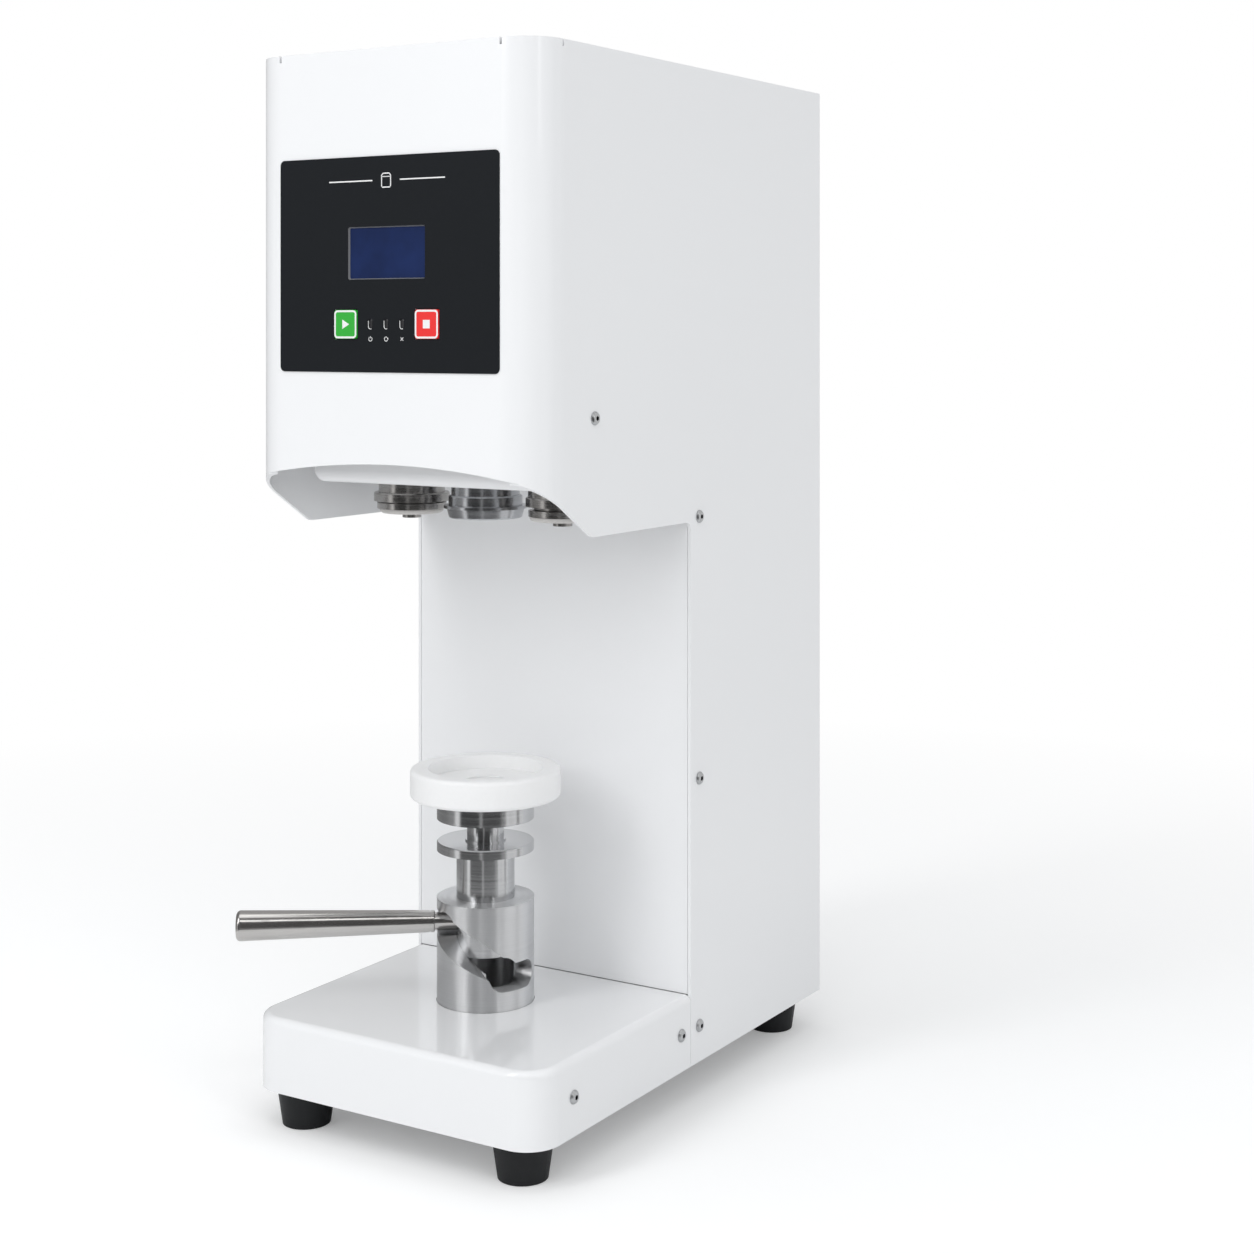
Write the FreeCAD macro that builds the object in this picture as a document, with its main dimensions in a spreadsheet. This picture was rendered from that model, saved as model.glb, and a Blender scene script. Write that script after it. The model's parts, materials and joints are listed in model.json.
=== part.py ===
import FreeCAD, Part
import math
import os
import Sketcher

# A tabletop can seamer that turns the can. A motor in the column drives a chuck through a belt.
# Two seaming rollers on swinging arms press the lid's edge home. A lever in a slotted sleeve
# raises the can on a free-spinning tray. Millimetres; +Z up, -Y is the front; the origin is on
# the table, midway between the four feet.

doc = FreeCAD.newDocument("CanSeamer")
Vec = FreeCAD.Vector

SIZES = [
    # housing
    ("body_width", 200.0), ("body_depth", 330.0), ("body_height", 610.0), ("sheet", 2.0),
    ("foot_height", 22.0), ("base_height", 42.0), ("throat_depth", 160.0), ("head_bottom", 342.0),
    ("lip_height", 32.3), ("lip_run", 52.0), ("lip_round", 9.0), ("throat_round", 4.5),
    ("bend_radius", 24.0), ("arch_reach", 82.0), ("arch_rise", 6.7), ("seam_gap", 0.3),
    ("notch_width", 1.6), ("notch_depth", 4.0), ("base_corner", 20.0), ("base_edge", 4.0),
    # inner frame
    ("plate_gap", 0.5), ("base_plate_thick", 8.0), ("side_plate_thick", 5.0),
    ("head_plate_top", 411.0), ("head_plate_thick", 8.0), ("head_arm_height", 50.0), ("frame_round", 12.0),
    ("block_width", 14.0), ("block_height", 24.0),
    # pan under the head
    ("pan_width", 160.0), ("pan_bottom", 367.0), ("pan_sheet", 1.5), ("pan_inset", 30.0),
    ("pan_height", 26.0), ("pan_round", 7.0),
    # control panel
    ("panel_width", 151.0), ("panel_drop", 59.6), ("panel_height", 118.9), ("panel_thick", 0.6),
    ("panel_round", 3.0), ("window_width", 53.0), ("window_height", 29.0), ("window_drop", 53.2),
    ("button_side", 16.0), ("button_reach", 28.0), ("button_drop", 92.4), ("button_proud", 1.4),
    ("button_gap", 0.3), ("button_travel", 0.5), ("led_width", 3.4), ("led_height", 5.8), ("led_pitch", 10.9),
    ("board_depth", 9.0), ("board_thick", 1.6),
    # screws
    ("screw_head", 3.8), ("screw_head_thick", 2.0), ("screw_shank", 2.5), ("screw_length", 7.4),
    ("head_screw_inset", 55.0), ("head_screw_z", 406.7), ("column_screw_inset", 10.0),
    ("high_screw_z", 344.6), ("middle_screw_z", 189.8), ("low_screw_z", 43.5),
    ("rear_base_screw_inset", 11.2), ("front_base_screw_inset", 34.0),
    # feet
    ("foot_inset_x", 24.7), ("foot_inset_y", 22.0), ("foot_top", 16.9), ("foot_bottom", 13.8),
    ("bolt_head", 5.0), ("bolt_head_thick", 4.0), ("bolt_shank", 3.0), ("bolt_recess", 9.0),
    # can lift
    ("can_reach", 93.0), ("sleeve_radius", 28.4), ("sleeve_top", 124.0), ("shaft_radius", 17.0),
    ("running_fit", 0.05), ("shaft_low", 92.0), ("shaft_top", 151.5), ("disc_radius", 28.4),
    ("disc_thick", 5.3), ("stud_radius", 10.85), ("stud_depth", 32.0),
    ("stud_shoulder", 11.9), ("shoulder_height", 0.9), ("end_gap", 1.0), ("platen_low", 169.9),
    ("platen_radius", 28.4), ("platen_thick", 12.1), ("tray_radius", 44.0), ("tray_thick", 17.1),
    ("tray_gap", 0.2), ("can_radius", 33.0), ("can_play", 0.25), ("seat_depth", 8.0),
    ("tray_round", 2.5), ("spigot_radius", 10.0), ("spigot_height", 6.5), ("journal_radius", 7.5),
    ("bearing_radius", 16.0), ("bearing_width", 8.0),
    # lever and its slot
    ("lever_height", 109.7), ("lever_heading", 216.7), ("lever_length", 144.0),
    ("lever_neck", 5.1), ("lever_root", 6.3), ("lever_end", 8.75), ("lever_root_start", 29.6),
    ("lever_insert", 9.0), ("lever_end_round", 2.5), ("lift_turn", 118.3), ("lift_drop", 26.7),
    ("slot_play", 0.6), ("slot_half", 7.9), ("ramp_half", 9.2), ("ramp_start_turn", 32.0),
    ("ramp_bend_turn", 84.0), ("ramp_end_turn", 110.0), ("ramp_bend_drop", 14.4), ("ramp_end_drop", 23.9),
    ("latch_turn", 25.0), ("slot_overlap", 1.0), ("lever_groove", 0.5), ("lever_groove_place", 2.4),
    # spindle and chuck
    ("chuck_low", 345.3), ("chuck_nose_tip", 21.3), ("chuck_nose", 22.8), ("chuck_nose_height", 5.7),
    ("chuck_nose_round", 1.2), ("chuck_flange", 24.4), ("chuck_flange_thick", 1.7), ("chuck_body", 21.6),
    ("chuck_body_thick", 6.0), ("chuck_body_round", 0.8), ("chuck_hub", 20.0), ("chuck_hub_thick", 6.5),
    ("spindle_radius", 8.5),
    ("collar_radius", 12.5), ("spindle_bearing", 17.5), ("spindle_bearing_width", 10.0),
    ("housing_radius", 24.0), ("housing_drop", 22.0), ("housing_flange", 36.0),
    ("housing_flange_thick", 8.0),
    # belt drive
    ("pulley_low", 422.0), ("pulley_width", 16.0), ("pulley_rim", 2.0), ("rim_height", 3.0),
    ("driven_radius", 45.0), ("driver_radius", 15.0), ("belt_thick", 2.5), ("belt_gap", 0.4),
    ("motor_inset", 55.0), ("motor_radius", 42.0), ("motor_length", 112.0), ("motor_shaft", 6.0),
    # rollers and arms
    ("roller_reach", 54.0), ("roller_pin", 4.0), ("pivot_x", 29.0), ("roller_lever", 52.0),
    ("lever_room", 140.0),
    ("pivot_radius", 8.0), ("arm_low", 386.0), ("arm_thick", 10.0), ("arm_hub", 14.0),
    ("arm_width", 18.0), ("first_flange", 22.6), ("first_ring", 20.7), ("second_flange", 21.2),
    ("second_ring", 19.6), ("roller_low", 348.6), ("ring_thick", 3.6), ("first_groove", 0.9),
    ("second_groove", 2.0), ("groove_depth", 3.2), ("flange_thick", 5.2), ("roller_hub", 19.8),
    ("roller_top", 365.5), ("cap_radius", 19.0), ("cap_thick", 2.7), ("cap_round", 2.4),
    ("nut_radius", 5.6), ("nut_thick", 2.8), ("spacer_radius", 11.0), ("slot_margin", 2.0),
    ("roller_stroke", 8.0),
    # cam
    ("cam_lever", 50.0), ("cam_thick", 12.0), ("follower_radius", 8.0), ("follower_pin", 4.0),
    ("cam_gap", 0.6), ("cam_turn", 80.0), ("cam_shaft", 4.0), ("cam_motor_radius", 18.5),
    ("cam_motor_length", 62.0),
    # power entry
    ("inlet_width", 27.0), ("inlet_height", 20.0), ("inlet_x", -45.0), ("inlet_z", 80.0),
    ("pin_recess", 6.5), ("rocker_tilt", 10.0), ("switch_width", 19.0), ("switch_height", 13.0),
    ("switch_z", 112.0), ("fuse_radius", 6.5),
    ("fuse_z", 80.0), ("supply_length", 110.0), ("supply_width", 78.0), ("supply_height", 42.0),
    ("louvre_width", 60.0), ("louvre_height", 3.0), ("louvre_pitch", 9.0), ("louvre_drop", 140.0),
]

sheet = doc.addObject("Spreadsheet::Sheet", "Sizes")
for row, (alias, number) in enumerate(SIZES, start=1):
    sheet.set("A%d" % row, alias)
    sheet.set("B%d" % row, str(number))
    sheet.setAlias("B%d" % row, alias)
doc.recompute()


class Length:
    """A size as FreeCAD expression text together with its present value."""

    def __init__(self, text, value):
        self.text = text
        self.value = value

    def _join(self, other, sign, value):
        return Length("(%s %s %s)" % (self.text, sign, as_length(other).text), value)

    def __add__(self, other):
        return self._join(other, "+", self.value + as_length(other).value)

    def __sub__(self, other):
        return self._join(other, "-", self.value - as_length(other).value)

    def __mul__(self, other):
        return self._join(other, "*", self.value * as_length(other).value)

    def __truediv__(self, other):
        return self._join(other, "/", self.value / as_length(other).value)

    def __neg__(self):
        return Length("(0 - %s)" % self.text, -self.value)

    def __rsub__(self, other):
        return as_length(other) - self

    __radd__ = __add__
    __rmul__ = __mul__


def as_length(number):
    if isinstance(number, Length):
        return number
    return Length(repr(float(number)), float(number))


def root(length):
    return Length("sqrt(%s)" % length.text, math.sqrt(length.value))


def cos_of(degrees):
    return Length("cos(%s * 1 deg)" % degrees.text, math.cos(math.radians(degrees.value)))


def sin_of(degrees):
    return Length("sin(%s * 1 deg)" % degrees.text, math.sin(math.radians(degrees.value)))


class Sheet:
    """Gives each alias of the sheet as a Length."""

    def __getattr__(self, alias):
        return Length("Sizes.%s" % alias, float(sheet.get(alias)))


S = Sheet()
parts = {}


def bind(thing, prop, length):
    thing.setExpression(prop, as_length(length).text)


def put(thing, x=0, y=0, z=0):
    bind(thing, "Placement.Base.x", x)
    bind(thing, "Placement.Base.y", y)
    bind(thing, "Placement.Base.z", z)
    return thing


def turn(thing, axis, degrees):
    thing.Placement = FreeCAD.Placement(Vec(0, 0, 0), FreeCAD.Rotation(Vec(*axis), 0))
    bind(thing, "Placement.Rotation.Angle", degrees)


def keep(label, thing):
    thing.Label = label
    parts[label] = thing
    return thing


# ---- sketches and PartDesign features ----

PLANES = {"XY": "XY_Plane", "XZ": "XZ_Plane", "YZ": "YZ_Plane"}


def box_loop(low_u, high_u, low_v, high_v):
    return [(low_u, low_v), (high_u, low_v), (high_u, high_v), (low_u, high_v)]


def circle(u, v, radius):
    return ("circle", u, v, radius)


def draw(body, plane, loops, offset=0):
    """A sketch on one of the body's own planes: polygons by their corners, circles by centre and radius."""
    sketch = body.newObject("Sketcher::SketchObject", "Sketch")
    base = [o for o in body.Origin.OriginFeatures if o.Role == PLANES[plane]][0]
    sketch.AttachmentSupport = [(base, "")]
    sketch.MapMode = "FlatFace"
    bind(sketch, "AttachmentOffset.Base.z", offset)

    def fix(kind, geometry, point, length):
        length = as_length(length)
        index = sketch.addConstraint(Sketcher.Constraint(kind, -1, 1, geometry, point, length.value))
        sketch.setExpression("Constraints[%d]" % index, length.text)

    for loop in loops:
        if loop[0] == "circle":
            _, u, v, radius = loop
            u, v, radius = as_length(u), as_length(v), as_length(radius)
            curve = Part.Circle(Vec(u.value, v.value, 0), Vec(0, 0, 1), radius.value)
            n = sketch.addGeometry(curve, False)
            fix("DistanceX", n, 3, u)
            fix("DistanceY", n, 3, v)
            index = sketch.addConstraint(Sketcher.Constraint("Radius", n, radius.value))
            sketch.setExpression("Constraints[%d]" % index, radius.text)
            continue
        corners = [(as_length(u), as_length(v)) for u, v in loop]
        first = sketch.GeometryCount
        ends = corners[1:] + corners[:1]
        for (u, v), (next_u, next_v) in zip(corners, ends):
            start = Vec(u.value, v.value, 0)
            end = Vec(next_u.value, next_v.value, 0)
            sketch.addGeometry(Part.LineSegment(start, end), False)
        count = len(corners)
        for i, (u, v) in enumerate(corners):
            following = first + (i + 1) % count
            sketch.addConstraint(Sketcher.Constraint("Coincident", first + i, 2, following, 1))
            fix("DistanceX", first + i, 1, u)
            fix("DistanceY", first + i, 1, v)
    return sketch


def new_body(label):
    return keep(label, doc.addObject("PartDesign::Body", "Body"))


def pad(body, plane, loops, low, high):
    low, high = as_length(low), as_length(high)
    feature_offset = -low if plane == "XZ" else low
    sketch = draw(body, plane, loops, feature_offset)
    feature = body.newObject("PartDesign::Pad", "Pad")
    feature.Profile = sketch
    feature.Reversed = plane == "XZ"
    bind(feature, "Length", high - low)
    return body


def pocket(body, plane, loops, low, high):
    low, high = as_length(low), as_length(high)
    doc.recompute()
    before = body.Shape.Volume
    sketch = draw(body, plane, loops, -low if plane == "XZ" else high)
    feature = body.newObject("PartDesign::Pocket", "Pocket")
    feature.Profile = sketch
    bind(feature, "Length", high - low)
    doc.recompute()
    if not body.Shape.Volume < before:
        raise ValueError("a pocket in %s cuts nothing" % body.Label)
    return body


def prism(label, plane, loops, low, high):
    return pad(new_body(label), plane, loops, low, high)


def revolve(body, corners):
    sketch = draw(body, "XZ", [corners])
    feature = body.newObject("PartDesign::Revolution", "Revolution")
    feature.Profile = sketch
    feature.ReferenceAxis = (sketch, ["V_Axis"])
    feature.Angle = 360
    return body


def turned(label, corners, x=0, y=0):
    """A turned piece: corners are (radius, height)."""
    return put(revolve(new_body(label), corners), x, y)


def ring(inner, outer, low, high):
    return [(inner, low), (outer, low), (outer, high), (inner, high)]


def straight_along(axis, **at):
    """Picks straight edges along an axis whose middle is at the given x, y or z."""
    direction = Vec(*[1 if name == axis else 0 for name in "xyz"])

    def wanted(edge):
        if edge.Degenerated or edge.Curve.TypeId != "Part::GeomLine":
            return False
        tangent = edge.tangentAt(edge.FirstParameter)
        if abs(abs(tangent.dot(direction)) - 1) > 1e-6:
            return False
        middle = edge.valueAt((edge.FirstParameter + edge.LastParameter) / 2)
        return all(abs(getattr(middle, name) - as_length(v).value) < 0.01 for name, v in at.items())

    return wanted


def ring_at(radius, height):
    """Picks circular edges of one radius at one height."""

    def wanted(edge):
        if edge.Degenerated or edge.Curve.TypeId != "Part::GeomCircle":
            return False
        same_radius = abs(edge.Curve.Radius - as_length(radius).value) < 0.01
        return same_radius and abs(edge.Curve.Center.z - as_length(height).value) < 0.01

    return wanted


def soften(body, radius, *tests, kind="Fillet"):
    doc.recompute()
    previous = body.Tip
    names = []
    for number, edge in enumerate(previous.Shape.Edges, start=1):
        if any(test(edge) for test in tests):
            names.append("Edge%d" % number)
    if not names:
        raise ValueError("no edge to soften on %s" % body.Label)
    feature = body.newObject("PartDesign::" + kind, kind)
    feature.Base = (previous, names)
    bind(feature, "Radius" if kind == "Fillet" else "Size", radius)
    return body


# ---- Part primitives ----

def rod(radius, low, high, x=0, y=0):
    """An upright cylinder."""
    thing = doc.addObject("Part::Cylinder", "Rod")
    bind(thing, "Radius", radius)
    bind(thing, "Height", as_length(high) - low)
    return put(thing, x, y, low)


def block(low_x, high_x, low_y, high_y, low_z, high_z):
    thing = doc.addObject("Part::Box", "Block")
    bind(thing, "Length", as_length(high_x) - low_x)
    bind(thing, "Width", as_length(high_y) - low_y)
    bind(thing, "Height", as_length(high_z) - low_z)
    return put(thing, low_x, low_y, low_z)


def fused(*things):
    joined = doc.addObject("Part::MultiFuse", "Fuse")
    joined.Shapes = list(things)
    return joined


def cut(base, tool):
    result = doc.addObject("Part::Cut", "Cut")
    result.Base = base
    result.Tool = tool
    return result


def group(label, things):
    bundle = doc.addObject("Part::Compound", "Compound")
    bundle.Links = list(things)
    return keep(label, bundle)


# ---- places that several pieces share ----

half_width = S.body_width / 2
inner_half = half_width - S.sheet
front = -(S.body_depth / 2)
rear = S.body_depth / 2
column_y = front + S.throat_depth
can_y = front + S.can_reach
motor_y = rear - S.motor_inset
lever_share = (motor_y - S.motor_radius - can_y) / S.lever_room
pivot_y = can_y + S.roller_lever * lever_share
cam_y = pivot_y + S.cam_lever * lever_share
base_top = S.foot_height + S.base_height
lip_low = S.head_bottom + S.lip_height
plate_top = S.foot_height + S.base_plate_thick
head_plate_low = S.head_plate_top - S.head_plate_thick
frame_half = inner_half - S.plate_gap
frame_inner = frame_half - S.side_plate_thick
back_inner = rear - S.sheet

panel_high = S.body_height - S.panel_drop
panel_low = panel_high - S.panel_height
window_centre = panel_high - S.window_drop
button_centre = panel_high - S.button_drop
window_half = S.window_width / 2
window_low = window_centre - S.window_height / 2
window_high = window_centre + S.window_height / 2
button_half = S.button_side / 2
button_low = button_centre - button_half
button_high = button_centre + button_half


def button_hole(x):
    reach = button_half + S.button_gap
    return box_loop(x - reach, x + reach, button_centre - reach, button_centre + reach)


def panel_openings(window_play):
    """The display window and the two button holes."""
    loops = [box_loop(-(window_half + window_play), window_half + window_play,
                      window_low - window_play, window_high + window_play)]
    loops.append(button_hole(-S.button_reach))
    loops.append(button_hole(S.button_reach))
    return loops


def led_slots(play):
    """Upright slots for the three lamps: the straight middles, then the round ends."""
    half = S.led_width / 2 + play
    straight = (S.led_height - S.led_width) / 2
    middles = []
    ends = []
    for step in (-1, 0, 1):
        x = S.led_pitch * step
        middles.append(box_loop(x - half, x + half, button_centre - straight, button_centre + straight))
        ends += [circle(x, button_centre + straight * end, half) for end in (-1, 1)]
    return middles, ends


side_screw_places = [
    (front + S.head_screw_inset, S.head_screw_z),
    (column_y + S.column_screw_inset, S.high_screw_z),
    (column_y + S.column_screw_inset, S.middle_screw_z),
    (column_y + S.column_screw_inset, S.low_screw_z),
]
base_screw_places = [(column_y - S.rear_base_screw_inset, S.low_screw_z),
                     (front + S.front_base_screw_inset, S.low_screw_z)]
foot_places = [((half_width - S.foot_inset_x) * a, (rear - S.foot_inset_y) * b)
               for a in (-1, 1) for b in (-1, 1)]


# ---- housing ----

def round_front_corners(body, radius):
    """Bends the two front corners of a folded sheet, inside first."""
    for half, edge, bend in ((inner_half, front + S.sheet, radius - S.sheet), (half_width, front, radius)):
        soften(body, bend, straight_along("z", x=-half, y=edge), straight_along("z", x=half, y=edge))


def housing_shell():
    """Front and both sides bent from one sheet: head, lip under the head, and column sides."""
    profile = [
        (front, lip_low), (front + S.lip_run, S.head_bottom), (column_y, S.head_bottom),
        (column_y, S.foot_height), (rear, S.foot_height), (rear, S.body_height), (front, S.body_height),
    ]
    body = prism("housing_shell", "YZ", [profile], -half_width, half_width)
    soften(body, S.lip_round, straight_along("x", y=front + S.lip_run, z=S.head_bottom))
    soften(body, S.throat_round, straight_along("x", y=column_y, z=S.head_bottom))
    inside = box_loop(-inner_half, inner_half, front + S.sheet, rear + S.sheet)
    pocket(body, "XY", [inside], 0, S.body_height + S.sheet)
    round_front_corners(body, S.bend_radius)
    arch_radius = (S.arch_reach * S.arch_reach + S.arch_rise * S.arch_rise) / (S.arch_rise * 2)
    arch = circle(0, lip_low + S.arch_rise - arch_radius, arch_radius)
    pocket(body, "XZ", [arch], front - S.sheet, front + S.sheet * 1.2)
    pocket(body, "XZ", panel_openings(S.seam_gap), front - S.sheet, front + S.sheet * 2)
    for loops in led_slots(S.seam_gap):
        pocket(body, "XZ", loops, front - S.sheet, front + S.sheet * 2)
    holes = [circle(y, z, S.screw_shank) for y, z in side_screw_places]
    pocket(body, "YZ", holes, -half_width, half_width)
    reach = half_width - S.bend_radius
    notches = []
    for side in (-1, 1):
        notches.append(box_loop(reach * side - S.notch_width / 2, reach * side + S.notch_width / 2,
                                front - S.sheet, front + S.sheet * 1.5))
        edge = half_width * side
        notches.append(box_loop(edge - S.sheet * 1.5, edge + S.sheet * 1.5,
                                front + S.bend_radius - S.notch_width / 2,
                                front + S.bend_radius + S.notch_width / 2))
    pocket(body, "XY", notches, S.body_height - S.notch_depth, S.body_height)


def top_cover():
    reach = inner_half - S.seam_gap
    edge = front + S.sheet + S.seam_gap
    outline = box_loop(-reach, reach, edge, rear)
    body = prism("top_cover", "XY", [outline], S.body_height - S.sheet, S.body_height)
    soften(body, S.bend_radius - S.sheet - S.seam_gap,
           straight_along("z", x=-reach, y=edge), straight_along("z", x=reach, y=edge))


def column_plate():
    """The throat's back wall, below the head."""
    reach = inner_half - S.seam_gap
    outline = box_loop(-reach, reach, base_top + S.seam_gap, S.pan_bottom - S.seam_gap)
    prism("column_plate", "XZ", [outline], column_y, column_y + S.sheet)


def base_cover():
    """Folded cover over the base in front of the column, open below and behind."""
    outline = box_loop(-half_width, half_width, front, column_y - S.seam_gap)
    body = prism("base_cover", "XY", [outline], S.foot_height, base_top)
    inside = box_loop(-inner_half, inner_half, front + S.sheet, column_y)
    pocket(body, "XY", [inside], S.foot_height, base_top - S.sheet)
    round_front_corners(body, S.base_corner)
    soften(body, S.base_edge, straight_along("x", y=front, z=base_top))
    pocket(body, "XY", [circle(0, can_y, S.sleeve_radius + S.seam_gap)],
           S.foot_height, base_top)
    holes = [circle(y, z, S.screw_shank) for y, z in base_screw_places]
    pocket(body, "YZ", holes, -half_width, half_width)


def rear_cover():
    """Back panel with louvres and the cut-outs of the power entry."""
    reach = inner_half - S.seam_gap
    outline = box_loop(-reach, reach, S.foot_height, S.body_height - S.sheet - S.seam_gap)
    body = prism("rear_cover", "XZ", [outline], back_inner, rear)
    slots = []
    for side in (-1, 1):
        for row in range(10):
            low = S.body_height - S.louvre_drop + S.louvre_pitch * row
            middle = S.louvre_width * 0.65 * side
            slots.append(box_loop(middle - S.louvre_width / 2, middle + S.louvre_width / 2,
                                  low, low + S.louvre_height))
    pocket(body, "XZ", slots, back_inner, rear)
    entry = [
        box_loop(S.inlet_x - S.inlet_width / 2, S.inlet_x + S.inlet_width / 2,
                 S.inlet_z - S.inlet_height / 2, S.inlet_z + S.inlet_height / 2),
        box_loop(S.inlet_x - S.switch_width / 2, S.inlet_x + S.switch_width / 2,
                 S.switch_z - S.switch_height / 2, S.switch_z + S.switch_height / 2),
        circle(-S.inlet_x, S.fuse_z, S.fuse_radius),
    ]
    pocket(body, "XZ", entry, back_inner, rear)
    pocket(body, "XZ", [circle(x, z, S.screw_shank) for x, z in rear_screw_places()],
           back_inner, rear)


def rear_screw_places():
    x = frame_half - S.side_plate_thick / 2
    heights = (S.low_screw_z, S.middle_screw_z, S.high_screw_z)
    return [(x * side, z) for side in (-1, 1) for z in heights]


# ---- inner frame ----

def base_plate():
    outline = box_loop(-frame_half, frame_half, front + S.sheet + S.plate_gap, back_inner)
    body = prism("base_plate", "XY", [outline], S.foot_height, plate_top)
    edge = front + S.sheet + S.plate_gap
    soften(body, S.base_corner - S.sheet,
           straight_along("z", x=-frame_half, y=edge), straight_along("z", x=frame_half, y=edge))
    bolts = [circle(x, y, S.bolt_shank) for x, y in foot_places + sleeve_bolt_places()]
    pocket(body, "XY", bolts, S.foot_height, plate_top)


def sleeve_bolt_places():
    reach = (S.sleeve_radius + S.shaft_radius) / 2
    return [(reach * a, can_y + reach * b) for a, b in ((1, 0), (0, 1), (-1, 0), (0, -1))]


def frame_side(label, side):
    """L-shaped side plate: column leg and the arm that carries the head plate."""
    leg_front = column_y + S.sheet + S.plate_gap
    arm_front = front + S.bend_radius + S.plate_gap
    arm_top = S.head_plate_top + S.head_arm_height / 2
    arm_low = arm_top - S.head_arm_height
    profile = [(leg_front, plate_top), (back_inner, plate_top), (back_inner, arm_top),
               (arm_front, arm_top), (arm_front, arm_low), (leg_front, arm_low)]
    low, high = (frame_inner, frame_half) if side > 0 else (-frame_half, -frame_inner)
    body = prism(label, "YZ", [profile], low, high)
    soften(body, S.frame_round, straight_along("x", y=leg_front, z=arm_low))
    holes = [circle(y, z, S.screw_shank) for y, z in side_screw_places]
    pocket(body, "YZ", holes, low, high)
    rear_holes = [circle(x, z, S.screw_shank) for x, z in rear_screw_places() if x.value * side > 0]
    pocket(body, "XZ", rear_holes, back_inner - S.screw_length, back_inner)


def head_plate():
    arm_front = front + S.bend_radius + S.plate_gap
    outline = box_loop(-frame_inner, frame_inner, arm_front, back_inner)
    holes = [
        circle(0, can_y, S.housing_radius), circle(0, motor_y, S.motor_shaft * 2),
        circle(0, cam_y, S.cam_shaft * 2), circle(S.pivot_x, pivot_y, S.pivot_radius),
        circle(-S.pivot_x, pivot_y, S.pivot_radius),
    ]
    prism("head_plate", "XY", [outline] + holes, head_plate_low, S.head_plate_top)


def base_blocks():
    """Blocks on the base plate that take the screws of the base cover."""
    pieces = []
    for side in (-1, 1):
        for y, z in base_screw_places:
            low = frame_half - S.block_width if side > 0 else -frame_half
            solid = block(low, low + S.block_width, y - S.block_width / 2, y + S.block_width / 2,
                          plate_top, plate_top + S.block_height)
            pieces.append(cut(solid, side_rod(S.screw_shank, y, z, side, half_width, S.screw_length)))
    group("base_blocks", pieces)


def head_pan():
    """Folded tray that closes the head from below, with room for spindle and roller pins."""
    half = S.pan_width / 2
    edge = front + S.pan_inset
    top = S.pan_bottom + S.pan_height
    body = prism("head_pan", "XY", [box_loop(-half, half, edge, column_y)], S.pan_bottom, top)
    wall = S.pan_sheet
    inside = box_loop(-(half - wall), half - wall, edge + wall, column_y)
    pocket(body, "XY", [inside], S.pan_bottom + wall, top)
    for inset in (wall, wall * 0):
        x = half - inset
        y = edge + inset
        z = S.pan_bottom + inset
        soften(body, S.pan_round - inset,
               straight_along("y", x=-x, z=z), straight_along("y", x=x, z=z),
               straight_along("x", y=y, z=z),
               straight_along("z", x=-x, y=y), straight_along("z", x=x, y=y))
    loops = [circle(0, can_y, S.collar_radius + S.slot_margin)]
    reach_x = S.roller_stroke + S.spacer_radius + S.slot_margin
    reach_y = S.roller_stroke / 2 + S.spacer_radius + S.slot_margin
    for side in (-1, 1):
        middle = S.roller_reach * side
        loops.append(box_loop(middle - reach_x, middle + reach_x, can_y - reach_y, can_y + reach_y))
    pocket(body, "XY", loops, S.pan_bottom, S.pan_bottom + wall)


# ---- control panel ----

def control_panel():
    half = S.panel_width / 2
    outline = box_loop(-half, half, panel_low, panel_high)
    body = prism("control_panel", "XZ", [outline] + panel_openings(0), front - S.panel_thick, front)
    corners = [straight_along("y", x=half * side, z=z) for side in (-1, 1)
               for z in (panel_low, panel_high)]
    soften(body, S.panel_round, *corners)
    for loops in led_slots(0):
        pocket(body, "XZ", loops, front - S.panel_thick * 2, front + S.panel_thick)


def display():
    lens = box_loop(-window_half, window_half, window_low, window_high)
    prism("display_window", "XZ", [lens], front + S.panel_thick, front + S.sheet)
    frame = box_loop(-(window_half * 1.3), window_half * 1.3,
                     window_centre - S.window_height * 0.72, window_centre + S.window_height * 0.72)
    prism("display_module", "XZ", [frame], front + S.sheet, front + S.board_depth)


def led_lenses():
    half = S.led_width / 2
    straight = (S.led_height - S.led_width) / 2
    pieces = []
    for step in (-1, 0, 1):
        x = S.led_pitch * step
        middle = block(x - half, x + half, front, front + S.board_depth,
                       button_centre - straight, button_centre + straight)
        ends = []
        for end in (-1, 1):
            lens = rod(half, 0, S.board_depth)
            turn(lens, (1, 0, 0), -90)
            ends.append(put(lens, x, front, button_centre + straight * end))
        pieces.append(fused(middle, *ends))
    group("led_lenses", pieces)


def button(label, x):
    outline = box_loop(x - button_half, x + button_half, button_low, button_high)
    back = front + S.board_depth - S.screw_head_thick - S.button_travel - S.button_gap
    body = prism(label, "XZ", [outline], front - S.button_proud, back)
    soften(body, S.panel_round / 2, *[straight_along("y", x=x + button_half * a, z=z)
                                      for a in (-1, 1) for z in (button_low, button_high)])


def control_board():
    """Circuit board with its two push switches and four spacers to the housing."""
    half = S.panel_width * 0.42
    low = panel_low + S.panel_round * 3
    high = panel_high - S.panel_round * 8
    start = front + S.board_depth
    pieces = [block(-half, half, start, start + S.board_thick, low, high)]
    for side in (-1, 1):
        x = S.button_reach * side
        pieces.append(block(x - S.screw_head, x + S.screw_head, start - S.screw_head_thick, start,
                            button_centre - S.screw_head, button_centre + S.screw_head))
        for z in (low + S.screw_head, high - S.screw_head):
            post = rod(S.screw_head, 0, S.board_depth - S.sheet)
            turn(post, (1, 0, 0), -90)
            pieces.append(put(post, (half - S.screw_head) * side, front + S.sheet, z))
    keep("control_board", fused(*pieces))


# ---- fasteners and feet ----

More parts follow.
